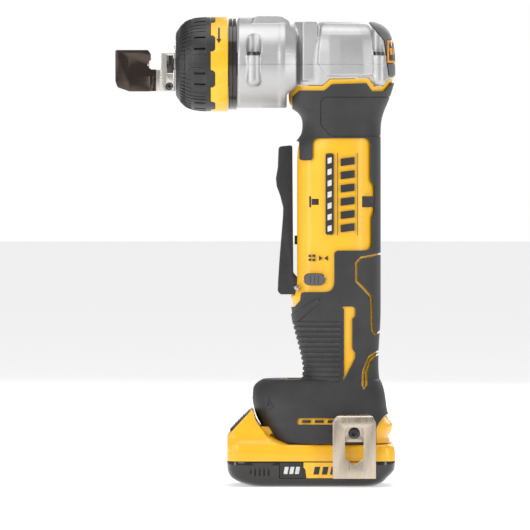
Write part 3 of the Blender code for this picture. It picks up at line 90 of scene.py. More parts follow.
def settle(obj, name):
    obj.name = name
    obj.data.name = name
    pickOnly(obj)
    bpy.ops.object.transform_apply(location=True, rotation=True, scale=True)
    return obj


def addModifier(obj, kind, **settings):
    pickOnly(obj)
    step = obj.modifiers.new(kind.lower(), kind)
    for key, value in settings.items():
        setattr(step, key, value)
    bpy.ops.object.modifier_apply(modifier=step.name)
    return obj


def carve(obj, tools, way="DIFFERENCE", keepTool=False):
    for tool in tools if isinstance(tools, (list, tuple)) else [tools]:
        addModifier(obj, "BOOLEAN", operation=way, solver="EXACT", object=tool)
        if not keepTool:
            bpy.data.objects.remove(tool, do_unlink=True)
    return obj


def twin(obj, name):
    pickOnly(obj)
    bpy.ops.object.duplicate(linked=False)
    made = bpy.context.view_layer.objects.active
    made.name = name
    made.data.name = name
    return made


def joinUp(first, others):
    pickOnly(first)
    for other in others:
        other.select_set(True)
    bpy.context.view_layer.objects.active = first
    bpy.ops.object.join()
    return first


def drop(obj):
    bpy.data.objects.remove(obj, do_unlink=True)


def block(name, low, high):
    size = [(b - a) * mm for a, b in zip(low, high)]
    bpy.ops.mesh.primitive_cube_add(size=1, location=[(a + b) / 2 * mm for a, b in zip(low, high)])
    obj = bpy.context.active_object
    obj.scale = size
    return settle(obj, name)


def rod(name, start, end, radius, sides=48, topRadius=None):
    start, end = Vector(start) * mm, Vector(end) * mm
    run = end - start
    bpy.ops.mesh.primitive_cone_add(
        vertices=sides, radius1=radius * mm, radius2=(topRadius if topRadius is not None else radius) * mm,
        depth=run.length, location=(start + end) / 2, rotation=run.to_track_quat("Z", "Y").to_euler(),
    )
    return settle(bpy.context.active_object, name)


def arcCorners(corners, steps=6):
    # corners are (a, b) or (a, b, radius); each radius becomes a short arc
    points, count = [], len(corners)
    for i, corner in enumerate(corners):
        here = Vector(corner[:2])
        radius = corner[2] if len(corner) > 2 else 0
        if not radius:
            points.append(here)
            continue
        back, ahead = Vector(corners[i - 1][:2]) - here, Vector(corners[(i + 1) % count][:2]) - here
        reach = min(radius / math.tan(back.angle(ahead) / 2), back.length * 0.49, ahead.length * 0.49)
        first, last = here + back.normalized() * reach, here + ahead.normalized() * reach
        for step in range(steps + 1):
            t = step / steps
            points.append(first * (1 - t) ** 2 + here * 2 * t * (1 - t) + last * t * t)
    return points


def drawLine(name, points, toSpace, closed=True):
    # one point, run round the corners by extruding it
    places = [Vector(toSpace(*p)) * mm for p in points]
    if closed:
        places.append(places[0])
    bpy.ops.mesh.primitive_plane_add(size=0.5 * mm, location=(0, 0, 0))
    obj = bpy.context.active_object
    startEdit(obj)
    bpy.ops.mesh.merge(type="CENTER")
    bpy.ops.transform.translate(value=places[0])
    for last, here in zip(places, places[1:]):
        bpy.ops.mesh.extrude_vertices_move(TRANSFORM_OT_translate={"value": here - last})
    bpy.ops.mesh.select_all(action="SELECT")
    bpy.ops.mesh.remove_doubles(threshold=0.002 * mm)
    endEdit()
    obj.name = name
    obj.data.name = name
    return obj


def plate(name, corners, axis, low, high, steps=6):
    # a flat outline given in the two other axes, pulled up from low to high
    spaces = {"X": lambda a, b: (low, a, b), "Y": lambda a, b: (a, low, b), "Z": lambda a, b: (a, b, low)}
    push = [0, 0, 0]
    push["XYZ".index(axis)] = (high - low) * mm
    obj = drawLine(name, arcCorners(corners, steps), spaces[axis])
    startEdit(obj)
    bpy.ops.mesh.edge_face_add()
    bpy.ops.mesh.extrude_region_move(TRANSFORM_OT_translate={"value": push})
    bpy.ops.mesh.select_all(action="SELECT")
    bpy.ops.mesh.normals_make_consistent(inside=False)
    endEdit()
    return settle(obj, name)


def spun(name, profile, centre, axis="X", steps=128, closed=True):
    # profile points are (along, radius) from the centre
    axes = {"X": (1, 0, 0), "Y": (0, 1, 0), "Z": (0, 0, 1)}
    spaces = {
        "X": lambda a, r: (centre[0] + a, centre[1], centre[2] + r),
        "Y": lambda a, r: (centre[0] + r, centre[1] + a, centre[2]),
        "Z": lambda a, r: (centre[0] + r, centre[1], centre[2] + a),
    }
    obj = drawLine(name, arcCorners(profile, 4) if closed else [Vector(p[:2]) for p in profile],
        spaces[axis], closed)
    startEdit(obj)
    bpy.ops.mesh.spin(steps=steps, angle=2 * math.pi, center=Vector(centre) * mm, axis=axes[axis])
    bpy.ops.mesh.select_all(action="SELECT")
    bpy.ops.mesh.remove_doubles(threshold=0.004 * mm)
    bpy.ops.mesh.normals_make_consistent(inside=False)
    endEdit()
    return settle(obj, name)


def pickNear(obj, test):
    # leaves edit mode ready with only the points that pass the test selected
    bpy.ops.mesh.select_all(action="DESELECT")
    endEdit()
    for vertex in obj.data.vertices:
        vertex.select = test(vertex.co / mm)
    bpy.ops.object.mode_set(mode="EDIT")


def roundOff(obj, width, segments=2, angle=35, clamp=True):
    return addModifier(
        obj, "BEVEL", width=width * mm, segments=segments, limit_method="ANGLE",
        angle_limit=math.radians(angle), use_clamp_overlap=clamp, harden_normals=False,
    )


def smoothBy(obj, angle=32):
    pickOnly(obj)
    bpy.ops.object.shade_smooth_by_angle(angle=math.radians(angle))
    return obj


def bodyOf(node):
    return cad[node]["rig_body"]


def place(obj, name, node, finish, angle=32, replaces=True):
    # names a finished piece, gives it its finish and lets it ride with the body of a frame node
    obj.name = name
    obj.data.name = name
    obj.data.materials.clear()
    obj.data.materials.append(finish)
    smoothBy(obj, angle)
    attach(obj, bodyOf(node))
    if replaces:
        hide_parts(node)
    return obj


def fineCopy(node, name, finish, width=0.25, segments=2, angle=30):
    # a frame node's own shape with its flats merged and its edges eased
    obj = twin(cad[node], name)
    obj.parent = None
    for key in list(obj.keys()):
        del obj[key]
    startEdit(obj)
    bpy.ops.mesh.remove_doubles(threshold=0.002 * mm)
    bpy.ops.mesh.dissolve_limited(angle_limit=math.radians(1.5))
    endEdit()
    roundOff(obj, width, segments, angle)
    return place(obj, name, node, finish)


# finishes: shared effects first, then one material for each real surface

def effectGroup(name, inputs, outputs):
    group = bpy.data.node_groups.new(name, "ShaderNodeTree")
    for label, kind, value in inputs:
        made = group.interface.new_socket(name=label, in_out="INPUT", socket_type=kind)
        made.default_value = value
    for label, kind in outputs:
        group.interface.new_socket(name=label, in_out="OUTPUT", socket_type=kind)
    start, end = group.nodes.new("NodeGroupInput"), group.nodes.new("NodeGroupOutput")
    return group, start, end


def addNode(tree, kind, **settings):
    made = tree.nodes.new(kind)
    for key, value in settings.items():
        setattr(made, key, value)
    return made


def rampOf(tree, source, stops):
    ramp = addNode(tree, "ShaderNodeValToRGB")
    while len(ramp.color_ramp.elements) < len(stops):
        ramp.color_ramp.elements.new(0.5)
    for element, (at, level) in zip(ramp.color_ramp.elements, stops):
        element.position = at
        element.color = (level, level, level, 1)
    tree.links.new(source, ramp.inputs["Fac"])
    return ramp.outputs["Color"]


def makeSpeckle():
    # soft clouds with a fine grain over them, for colour and gloss
    group, start, end = effectGroup(
        "speckle",
        [("Scale", "NodeSocketFloat", 1500.0), ("Stretch", "NodeSocketVector", (1, 1, 1))],
        [("Cloud", "NodeSocketFloat"), ("Grain", "NodeSocketFloat")],
    )
    spot = addNode(group, "ShaderNodeTexCoord")
    stretch = addNode(group, "ShaderNodeVectorMath", operation="MULTIPLY")
    group.links.new(spot.outputs["Object"], stretch.inputs[0])
    group.links.new(start.outputs["Stretch"], stretch.inputs[1])
    cloud = addNode(group, "ShaderNodeTexNoise")
    cloud.inputs["Scale"].default_value = 70
    cloud.inputs["Detail"].default_value = 5
    grain = addNode(group, "ShaderNodeTexNoise")
    grain.inputs["Detail"].default_value = 3
    group.links.new(stretch.outputs[0], cloud.inputs["Vector"])
    group.links.new(stretch.outputs[0], grain.inputs["Vector"])
    group.links.new(start.outputs["Scale"], grain.inputs["Scale"])
    group.links.new(cloud.outputs["Fac"], end.inputs["Cloud"])
    group.links.new(grain.outputs["Fac"], end.inputs["Grain"])
    return group


def makeWornAndLitEdges():
    # lighter where edges and corners stand out, broken up by a noise: partly real scuffing, partly a painted
    # edge highlight
    group, start, end = effectGroup(
        "rubbed edges",
        [("Low", "NodeSocketFloat", 0.52), ("High", "NodeSocketFloat", 0.62)],
        [("Edge", "NodeSocketFloat")],
    )
    shape = addNode(group, "ShaderNodeNewGeometry")
    spot = addNode(group, "ShaderNodeTexCoord")
    noise = addNode(group, "ShaderNodeTexNoise")
    noise.inputs["Scale"].default_value = 320
    noise.inputs["Detail"].default_value = 4
    group.links.new(spot.outputs["Object"], noise.inputs["Vector"])
    spread = addNode(group, "ShaderNodeMapRange", clamp=True)
    group.links.new(shape.outputs["Pointiness"], spread.inputs["Value"])
    group.links.new(start.outputs["Low"], spread.inputs["From Min"])
    group.links.new(start.outputs["High"], spread.inputs["From Max"])
    broken = addNode(group, "ShaderNodeMapRange", clamp=True)
    broken.inputs["From Min"].default_value = 0.35
    broken.inputs["From Max"].default_value = 0.6
    group.links.new(noise.outputs["Fac"], broken.inputs["Value"])
    both = addNode(group, "ShaderNodeMath", operation="MULTIPLY")
    group.links.new(spread.outputs["Result"], both.inputs[0])
    group.links.new(broken.outputs["Result"], both.inputs[1])
    group.links.new(both.outputs[0], end.inputs["Edge"])
    return group


def makePebble():
    # moulded leather-like pebbling for grips and textured plastic
    group, start, end = effectGroup(
        "moulded pebble", [("Scale", "NodeSocketFloat", 1400.0)], [("Height", "NodeSocketFloat")]
    )
    spot = addNode(group, "ShaderNodeTexCoord")
    cells = addNode(group, "ShaderNodeTexVoronoi", feature="SMOOTH_F1")
    group.links.new(spot.outputs["Object"], cells.inputs["Vector"])
    group.links.new(start.outputs["Scale"], cells.inputs["Scale"])
    group.links.new(cells.outputs["Distance"], end.inputs["Height"])
    return group


speckle, wornAndLit, pebble = makeSpeckle(), makeWornAndLitEdges(), makePebble()


def makeFinish(name, colour, second, rough, metal=0.0, grain=1500, stretch=(1, 1, 1), relief=0.05,
    pebbled=0.0,
               pebbleScale=1400, wearAndHighlight=None, wearAndHighlightAmount=0.35, coat=0.0, roughSwing=0.1, alpha=None,
                   transmission=0.0,
               glow=None, edge=(0.52, 0.62)):
    material = bpy.data.materials.new(name)
    material.use_nodes = True
    tree = material.node_tree
    shader = tree.nodes["Principled BSDF"]
    shader.inputs["Metallic"].default_value = metal
    if coat:
        shader.inputs["Coat Weight"].default_value = coat
        shader.inputs["Coat Roughness"].default_value = 0.08
    if transmission:
        shader.inputs["Transmission Weight"].default_value = transmission
        shader.inputs["IOR"].default_value = 1.49
    if glow:
        shader.inputs["Emission Color"].default_value = (*glow, 1)
        shader.inputs["Emission Strength"].default_value = 0.4
    noise = addNode(tree, "ShaderNodeGroup", node_tree=speckle)
    noise.inputs["Scale"].default_value = grain
    noise.inputs["Stretch"].default_value = stretch
    tone = addNode(tree, "ShaderNodeMix", data_type="RGBA")
    tone.inputs["A"].default_value = (*colour, 1)
    tone.inputs["B"].default_value = (*second, 1)
    tree.links.new(rampOf(tree, noise.outputs["Cloud"], [(0.35, 0), (0.68, 1)]), tone.inputs["Factor"])
    # edges and corners are mixed towards a lighter colour: partly real scuffing, partly a painted edge
    # highlight
    wornAndLitEdge = addNode(tree, "ShaderNodeGroup", node_tree=wornAndLit)
    wornAndLitEdge.inputs["Low"].default_value, wornAndLitEdge.inputs["High"].default_value = edge
    strength = addNode(tree, "ShaderNodeMath", operation="MULTIPLY")
    strength.inputs[1].default_value = wearAndHighlightAmount
    tree.links.new(wornAndLitEdge.outputs["Edge"], strength.inputs[0])
    paint = addNode(tree, "ShaderNodeMix", data_type="RGBA")
    paint.inputs["B"].default_value = (*(wearAndHighlight or [min(1, c * 1.6 + 0.03) for c in colour]), 1)
    tree.links.new(strength.outputs[0], paint.inputs["Factor"])
    tree.links.new(tone.outputs["Result"], paint.inputs["A"])
    tree.links.new(paint.outputs["Result"], shader.inputs["Base Color"])
    swing = addNode(tree, "ShaderNodeMapRange")
    swing.inputs["From Min"].default_value = 0.3
    swing.inputs["From Max"].default_value = 0.7
    swing.inputs["To Min"].default_value = max(0.03, rough - roughSwing / 2)
    swing.inputs["To Max"].default_value = rough + roughSwing / 2
    tree.links.new(noise.outputs["Grain"], swing.inputs["Value"])
    tree.links.new(swing.outputs["Result"], shader.inputs["Roughness"])
    bump = addNode(tree, "ShaderNodeBump")
    bump.inputs["Strength"].default_value = 0.5
    bump.inputs["Distance"].default_value = relief * mm
    tree.links.new(noise.outputs["Grain"], bump.inputs["Height"])
    if pebbled:
        cells = addNode(tree, "ShaderNodeGroup", node_tree=pebble)
        cells.inputs["Scale"].default_value = pebbleScale
        top = addNode(tree, "ShaderNodeBump")
        top.inputs["Strength"].default_value = 0.6
        top.inputs["Distance"].default_value = pebbled * mm
        tree.links.new(cells.outputs["Height"], top.inputs["Height"])
        tree.links.new(bump.outputs["Normal"], top.inputs["Normal"])
        bump = top
    tree.links.new(bump.outputs["Normal"], shader.inputs["Normal"])
    return material


gripRubber = makeFinish("grip rubber", (0.022, 0.022, 0.024), (0.030, 0.030, 0.032), 0.56,
                        pebbled=0.05, pebbleScale=1500, wearAndHighlightAmount=0.5, wearAndHighlight=(0.075, 0.075, 0.08),
                            relief=0.03)
bodyYellow = makeFinish("moulded yellow", (0.93, 0.50, 0.012), (0.90, 0.47, 0.010), 0.36,
                        pebbled=0.02, pebbleScale=2200, wearAndHighlightAmount=0.3, wearAndHighlight=(1.0, 0.68, 0.12), relief=0.03,
                            coat=0.15)
batteryYellow = makeFinish("battery yellow", (0.93, 0.50, 0.012), (0.90, 0.46, 0.010), 0.30,
                           relief=0.02, wearAndHighlightAmount=0.3, wearAndHighlight=(1.0, 0.68, 0.12), coat=0.25)
castSilver = makeFinish("cast silver", (0.52, 0.52, 0.52), (0.47, 0.47, 0.475), 0.40,
    metal=0.75,
                        grain=2600, relief=0.10, pebbled=0.03, pebbleScale=2600, wearAndHighlightAmount=0.45,
                            wearAndHighlight=(0.78, 0.78, 0.78),
                        roughSwing=0.16)
satinBlack = makeFinish("satin black moulding", (0.016, 0.016, 0.017), (0.022, 0.022,
    0.023), 0.40,
                        pebbled=0.02, pebbleScale=1800, wearAndHighlightAmount=0.5, wearAndHighlight=(0.08, 0.08, 0.085), relief=0.03)
glossBlack = makeFinish("gloss black moulding", (0.010, 0.009, 0.009), (0.014, 0.013,
    0.012), 0.17,
                        relief=0.008, wearAndHighlightAmount=0.3, wearAndHighlight=(0.05, 0.05, 0.05), coat=0.4, roughSwing=0.05)
paddleBlack = makeFinish("paddle black", (0.014, 0.014, 0.015), (0.020, 0.020, 0.021), 0.34,
                         pebbled=0.012, pebbleScale=2000, wearAndHighlightAmount=0.6, wearAndHighlight=(0.10, 0.10, 0.105),
                             relief=0.02)
bumperGrey = makeFinish("bumper grey", (0.112, 0.113, 0.118), (0.130, 0.131, 0.136), 0.52,
                        pebbled=0.03, pebbleScale=1500, wearAndHighlightAmount=0.35, relief=0.04)
buttonGrey = makeFinish("button grey", (0.085, 0.085, 0.088), (0.10, 0.10, 0.104), 0.45,
                        pebbled=0.02, pebbleScale=1900, wearAndHighlightAmount=0.5, relief=0.03)
badgeOrange = makeFinish("badge orange", (0.80, 0.30, 0.010), (0.76, 0.28, 0.010), 0.34,
                         relief=0.02, wearAndHighlightAmount=0.3, coat=0.2)
brushedHook = makeFinish("brushed hook steel", (0.60, 0.52, 0.42), (0.50, 0.43, 0.35), 0.30,
    metal=1.0,
                         grain=600, stretch=(1, 1, 0.05), relief=0.03, wearAndHighlightAmount=0.0, wearAndHighlight=(0.85, 0.80,
                             0.72), roughSwing=0.16)
polishedDark = makeFinish("polished dark steel", (0.095, 0.075, 0.065), (0.070, 0.055, 0.048),
    0.16, metal=1.0,
                          grain=900, stretch=(0.08, 1, 1), relief=0.01, wearAndHighlightAmount=0.0, wearAndHighlight=(0.62, 0.60,
                              0.57),
                          roughSwing=0.06)
plainNickel = makeFinish("plain nickel steel", (0.62, 0.59, 0.54), (0.54, 0.51, 0.47), 0.25,
    metal=1.0,
                         grain=900, stretch=(1, 1, 0.1), relief=0.015, wearAndHighlightAmount=0.0, wearAndHighlight=(0.86, 0.84, 0.8))
groundSteel = makeFinish("ground steel", (0.52, 0.51, 0.50), (0.44, 0.43, 0.42), 0.28, metal=1.0,
                         grain=1300, stretch=(1, 1, 0.12), relief=0.02, wearAndHighlightAmount=0.5, wearAndHighlight=(0.8, 0.79,
                             0.77))
blackedSteel = makeFinish("blacked screw steel", (0.060, 0.058, 0.060), (0.045, 0.044, 0.046),
    0.34, metal=0.9,
                          relief=0.02, wearAndHighlightAmount=0.8, wearAndHighlight=(0.42, 0.41, 0.40))
bearingBronze = makeFinish("sintered bronze", (0.50, 0.31, 0.13), (0.40, 0.25, 0.11), 0.42,
    metal=1.0,
                           grain=2400, relief=0.04, wearAndHighlightAmount=0.4)
coreSteel = makeFinish("stacked core steel", (0.22, 0.21, 0.21), (0.15, 0.145, 0.145), 0.42,
    metal=0.9,
                       grain=900, stretch=(0.05, 0.05, 4), relief=0.10, wearAndHighlightAmount=0.5)
cellWrap = makeFinish("cell wrap", (0.02, 0.13, 0.19), (0.018, 0.11, 0.16), 0.32, relief=0.02,
                      wearAndHighlightAmount=0.4, coat=0.3)
lensClear = makeFinish("work light lens", (0.80, 0.82, 0.84), (0.72, 0.75, 0.78), 0.14,
    relief=0.02,
                       wearAndHighlightAmount=0.2, transmission=0.75)
labelWhite = makeFinish("printed white", (0.62, 0.62, 0.62), (0.56, 0.56, 0.56), 0.5,
    relief=0.01, wearAndHighlightAmount=0.3)
# this black serves real print and also the painted shade of the vent openings
labelBlack = makeFinish("printed black and painted shade", (0.016, 0.015, 0.015), (0.022, 0.021, 0.021),
    0.45, relief=0.01, wearAndHighlightAmount=0.3)
print("finishes ready")


# stage: a pale floor, soft boxes and the camera

stage = {"floor": 9.0, "pale": 0.86, "distance": 6000, "rise": 1.2, "aimX": -31.05, "aimZ": 148.1,
    "width": 357.75}


def makeStage():
    bpy.ops.object.select_all(action="DESELECT")
    bpy.ops.mesh.primitive_circle_add(vertices=96, radius=stage["floor"], fill_type="NGON", location=(0, 0,
        -0.0004))
    floor = bpy.context.active_object
    startEdit(floor, "FACE")
    bpy.ops.mesh.inset(thickness=stage["floor"] * 0.7, depth=0)
    endEdit()
    settle(floor, "studioFloor")
    paper = bpy.data.materials.new("pale paper")
    paper.use_nodes = True
    tree = paper.node_tree
    shader = tree.nodes["Principled BSDF"]
    spot = addNode(tree, "ShaderNodeTexCoord")
    fibre = addNode(tree, "ShaderNodeTexNoise")
    fibre.inputs["Scale"].default_value = 40
    tree.links.new(spot.outputs["Object"], fibre.inputs["Vector"])
    tone = addNode(tree, "ShaderNodeMix", data_type="RGBA")
    tone.inputs["A"].default_value = (stage["pale"], stage["pale"], stage["pale"], 1)
    tone.inputs["B"].default_value = (stage["pale"] + 0.02, stage["pale"] + 0.02, stage["pale"] + 0.02, 1)
    tree.links.new(fibre.outputs["Fac"], tone.inputs["Factor"])
    tree.links.new(tone.outputs["Result"], shader.inputs["Base Color"])
    shader.inputs["Roughness"].default_value = 0.9
    shader.inputs["Specular IOR Level"].default_value = 0.1
    shader.inputs["Emission Color"].default_value = (1, 1, 1, 1)
    shader.inputs["Emission Strength"].default_value = 0.5
    floor.data.materials.append(paper)
    return floor


def softBox(name, place_, aim, size, power, tall=None):
    bpy.ops.object.light_add(type="AREA", location=Vector(place_) * mm)
    lamp = bpy.context.active_object
    lamp.name = name
    lamp.data.energy = power
    lamp.data.shape = "RECTANGLE"
    lamp.data.size, lamp.data.size_y = size * mm, (tall or size) * mm
    lamp.rotation_euler = (Vector(aim) * mm - Vector(place_) * mm).to_track_quat("-Z", "Y").to_euler()
    lamp.visible_camera = False
    return lamp


makeStage()
middle = (stage["aimX"], 0, stage["aimZ"])
softBox("keyBox", (-900, -1500, 900), middle, 900, 9, 1100)
softBox("rightStrip", (1100, -900, 350), middle, 260, 5, 1300)
softBox("leftStrip", (-1300, -650, 300), middle, 220, 5, 1300)
softBox("topBox", (0, -100, 1500), middle, 1100, 8)
softBox("backBox", (500, 1500, 900), middle, 1000, 10)
world = bpy.data.worlds.new("studio")
bpy.context.scene.world = world
world.use_nodes = True
lit, seen = world.node_tree.nodes["Background"], addNode(world.node_tree, "ShaderNodeBackground")
lit.inputs["Color"].default_value = (1, 1, 1, 1)
lit.inputs["Strength"].default_value = 0.42
seen.inputs["Strength"].default_value = 1.0
seen.inputs["Color"].default_value = (1, 1, 1, 1)
ray, either = addNode(world.node_tree, "ShaderNodeLightPath"), addNode(world.node_tree, "ShaderNodeMixShader")
world.node_tree.links.new(ray.outputs["Is Camera Ray"], either.inputs["Fac"])
world.node_tree.links.new(lit.outputs[0], either.inputs[1])
world.node_tree.links.new(seen.outputs[0], either.inputs[2])
world.node_tree.links.new(either.outputs[0], world.node_tree.nodes["World Output"].inputs["Surface"])
bpy.context.scene.view_settings.view_transform = "Standard"
rise = math.radians(stage["rise"])
bpy.ops.object.camera_add(
    location=(stage["aimX"] * mm, -stage["distance"] * math.cos(rise) * mm,
        (stage["aimZ"] + stage["distance"] * math.sin(rise)) * mm),
    rotation=(math.pi / 2 - rise, 0, 0),
)
camera = bpy.context.active_object
camera.data.sensor_width = 36
camera.data.lens = 36 * stage["distance"] / stage["width"]
camera.data.clip_end = 50
bpy.context.scene.camera = camera
print("stage ready")


# handle: two rubber-covered halves

handle = {
    "squareness": 2.7,
    "footSquareness": 4.2,
    "rubber": 1.3,
    "wall": 3.4,
    "panelSink": 0.16,
    "seam": 0.14,
    "ribs": {"first": 71.4, "pitch": 3.42, "count": 12, "thick": 1.75, "proud": 0.75, "back": 20.0},
    "trimBand": 3.4,
}
# (height, front, rear, half width)
handleRings = [
    (55.5, -8.05, 48.65, 24.5), (68.5, -6.55, 46.15, 22.5), (75.5, -4.05, 45.25, 20.1), (82.5, -4.85, 45.15,
    19.5),
    (91.5, -6.75, 45.25, 19.5), (102.5, -9.85, 46.05, 20.2), (111.5, -11.95, 46.55, 21.3), (118.5, -12.55,
    46.6, 22.7),
    (124.5, -14.1, 46.6, 24.6), (127.5, -15.2, 46.6, 25.1), (131.5, -12.9, 46.6, 25.5), (143.5, -12.5, 46.6,
    26.6),
    (161.5, -12.5, 46.6, 27), (192, -12.5, 46.6, 27), (223.8, -12.5, 46.6, 27), (230.6, -11.6, 46.6, 26.8),
    (235, -5.9, 46.6, 26.2), (243, -5.15, 46.6, 25.6), (248, -5.95, 47.6, 25.9), (251.8, -9.15, 48.8, 26.6),
    (254.4, -14.3, 49.8, 27.4), (258, -16.1, 51.4, 28), (263.6, -16.2, 53.5, 28.6), (274.6, -16.2, 56.9, 29),
    (283.6, -16.2, 56.2, 29), (292.6, -16.2, 55.8, 28.8), (300.3, -15.9, 54.5, 27.8), (306.3, -15.3, 52.4,
    24.8),
    (310.2, -14, 47.9, 20), (312.2, -11.5, 42.4, 14),
]
footRings = [
    (28.4, -25.4, 54.4, 36.5), (33.2, -28, 52.2, 36.5), (35.6, -29.3, 55.2, 36.5), (40.6, -32.6, 55.6, 36.5),
    (42, -33.5, 54.9, 34.9), (47, -36.4, 50.6, 34.5), (56, -38.4, 49.6, 32), (63.5, -38.9, 48.5, 28),
    (68, -37, 47, 24.5), (71.5, -31.5, 45.6, 21),
]
trimLine = [
    (-56.5, 254.2), (-16.4, 254.2), (-16.4, 263.3), (-9.5, 269.3), (7.55, 269.3), (12.45, 273.6), (38.65,
    274.2),
    (42.45, 268.7), (47.95, 268.7), (53.15, 274.4), (77, 274.4),
]
bandLine = [
    (-56.5, 253.5), (-12.7, 253.5), (-12.7, 261.7), (-8.2, 265.9), (8.9, 265.9), (13.8, 270.2), (37.2,
    270.8), (41.0, 265.3),
    (49.4, 265.3), (54.6, 271.0), (77, 271.0),
]
F = -26.0  # ahead of the handle
windows = {
    "body": [
        (F, 231.8), (-8, 231.8), (-8, 219, 2), (0.9, 219, 2), (0.9, 233.8, 4), (39.8, 233.8, 5), (39.8,
        205.2, 2),
        (42.7, 201.1, 2), (42.7, 184.5, 2), (40.8, 180.5, 2), (40.8, 158.3, 5), (15.5, 158.3, 3), (15.5,
        130.3, 7),
        (-6.9, 130.3, 3), (-7.5, 124.5, 2), (-11.5, 119.7), (F, 119.7),
    ],
    "accent": [
        (20.6, 120.6, 0.5), (29.7, 120.6, 2.5), (29.7, 114, 1), (27.7, 112, 1), (27.7, 92, 1), (29.7, 89.5,
        1), (29.7, 86, 1),
        (20.9, 68.9, 0.5), (22.1, 75), (22.1, 118.5),
    ],
    "frontFoot": [
        (-60, 75), (-9.5, 75), (-7.9, 66), (-7.9, 63, 2), (-10.7, 61.6, 1), (-21, 61.3, 1), (-25.3, 60.1,
        1), (-29.6, 64, 1.5),
        (-35.2, 61.6, 1), (-34.3, 53.6), (-31.4, 45), (-25.8, 32.7), (-24.8, 20), (-60, 20),
    ],
    "rearFoot": [(75, 50), (49.5, 47.5, 1), (45.2, 42.2, 1), (43.8, 39.4, 1), (43.8, 20), (75, 20)],
    "vent": [(-8.5, 46, 1), (24, 46, 1), (22.6, 41.7, 1), (-10, 41.7, 1)],
}
rearLines = [
    [(48, 155.9), (33.5, 153.5), (30.3, 150), (30.3, 137.6), (34.8, 133.2), (40.6, 126.7), (41.3, 104.4),
    (43.2, 101),
     (46, 102.9), (49, 104.5)],
    [(49, 90.8), (44.8, 89.6), (39, 86.4), (35.4, 77.5), (34.6, 68), (35.4, 65.2), (37.2, 68), (37.2, 75.6),
    (40.3, 84.6),
     (45.5, 88), (49, 89)],
]


def superRing(squareness):
    # how far the ring's off-axis points go out, at 22.5 and 45 degrees
    def out(turn):
        c, s = abs(math.cos(turn)), abs(math.sin(turn))
        return (c ** squareness + s ** squareness) ** (-1 / squareness)
    return out(math.pi / 8), out(math.pi / 4)


def bodyForm(name, rings, squareness, inset=0.0, levels=2):
    # a ring of 16 pulled up through the sections, then smoothed
    near, diagonal = superRing(squareness)
    swell = 6 / (4 + 2 * math.cos(math.pi / 8))
    bpy.ops.mesh.primitive_circle_add(vertices=16, radius=1, fill_type="NOTHING", location=(0, 0, 0))
    obj = bpy.context.active_object
    startEdit(obj)
    pickNear(obj, lambda p: abs(abs(p.x) - abs(p.y)) < 60)
    bpy.ops.transform.resize(value=(diagonal, diagonal, 1), center_override=(0, 0, 0))
    pickNear(obj, lambda p: 300 < min(abs(p.x), abs(p.y)) < 500)
    bpy.ops.transform.resize(value=(near, near, 1), center_override=(0, 0, 0))
    bpy.ops.mesh.select_all(action="SELECT")
    last = None
    for height, front, rear, half in rings:
        middle = (front + rear) / 2
        deep, wide = ((rear - front) / 2 - inset) * mm * swell, (half - inset) * mm * swell
        if last is None:
            bpy.ops.transform.resize(value=(deep, wide, 1), center_override=(0, 0, 0))
            bpy.ops.transform.translate(value=(middle * mm, 0, height * mm))
        else:
            bpy.ops.mesh.extrude_region_move(
                TRANSFORM_OT_translate={"value": ((middle - last[1]) * mm, 0, (height - last[0]) * mm)}
            )
            bpy.ops.transform.resize(
                value=(deep / last[2], wide / last[3], 1), center_override=(middle * mm, 0, height * mm)
            )
        last = (height, middle, deep, wide)
    low, high = rings[0][0], rings[-1][0]
    for level in (high, low):
        pickNear(obj, lambda p: abs(p.z - level) < 0.01)
        bpy.ops.mesh.edge_face_add()
        bpy.ops.mesh.inset(thickness=1.2 * mm, depth=0)
    endEdit()
    cleanUp(obj)
    if levels:
        addModifier(obj, "SUBSURF", levels=levels, render_levels=levels)
    return settle(obj, name)


def handleForm(name, inset=0.0, low=0.0, levels=2):
    upper = bodyForm(name, handleRings, handle["squareness"], inset, levels)
    lower = bodyForm(name + "Foot", [(z - low * (z < 30), f, r, h) for z, f, r, h in footRings],
                     handle["footSquareness"], inset, levels)
    return carve(upper, lower, "UNION")


def windowCutters(grow=0.0):
    made = []
    for key, corners in windows.items():
        cutter = plate(key + "Window", corners, "Y", -60, 60, 5)
        if grow:
            # thin the cutter by pushing its side walls in
            startEdit(cutter, "FACE")
            bpy.ops.mesh.select_all(action="SELECT")
            bpy.ops.transform.shrink_fatten(value=grow * mm)
            endEdit()
        made.append(cutter)
    return made


def ribbon(name, points, width, low, high):
    # an open line given a width in XZ and pulled through in Y
    obj = drawLine(name, points, lambda a, b: (a, low, b), closed=False)
    startEdit(obj)
    bpy.ops.mesh.extrude_region_move(TRANSFORM_OT_translate={"value": (0, (high - low) * mm, 0)})
    bpy.ops.mesh.select_all(action="SELECT")
    bpy.ops.mesh.normals_make_consistent(inside=False)
    endEdit()
    addModifier(obj, "SOLIDIFY", thickness=width * mm, offset=0)
    return settle(obj, name)


def aboveLine(name, line, drop_=0.0):
    return plate(name, [(x, z - drop_) for x, z in line] + [(77, 330), (-56.5, 330)], "Y", -60, 60)


def handlePassages():
    # what passes through both the shell and its rubber
    slotHalf = 12.0
    openings = [
        plate("paddleSlot", [(-40, 127.9), (-40, 231.2), (3, 231.2), (3, 127.9)], "Y", -slotHalf, slotHalf),
        block("railTunnel", (-80, -24.4, 8), (40, 24.4, 40.4)),
        block("lensOpening", (-60, -7.3, 59.2), (-32.9, 7.3, 66.3)),
        rod("pinHole", (-9.6, -21.0, 133), (-9.6, 21.0, 133), 1.9, 24),
    ]
    return openings


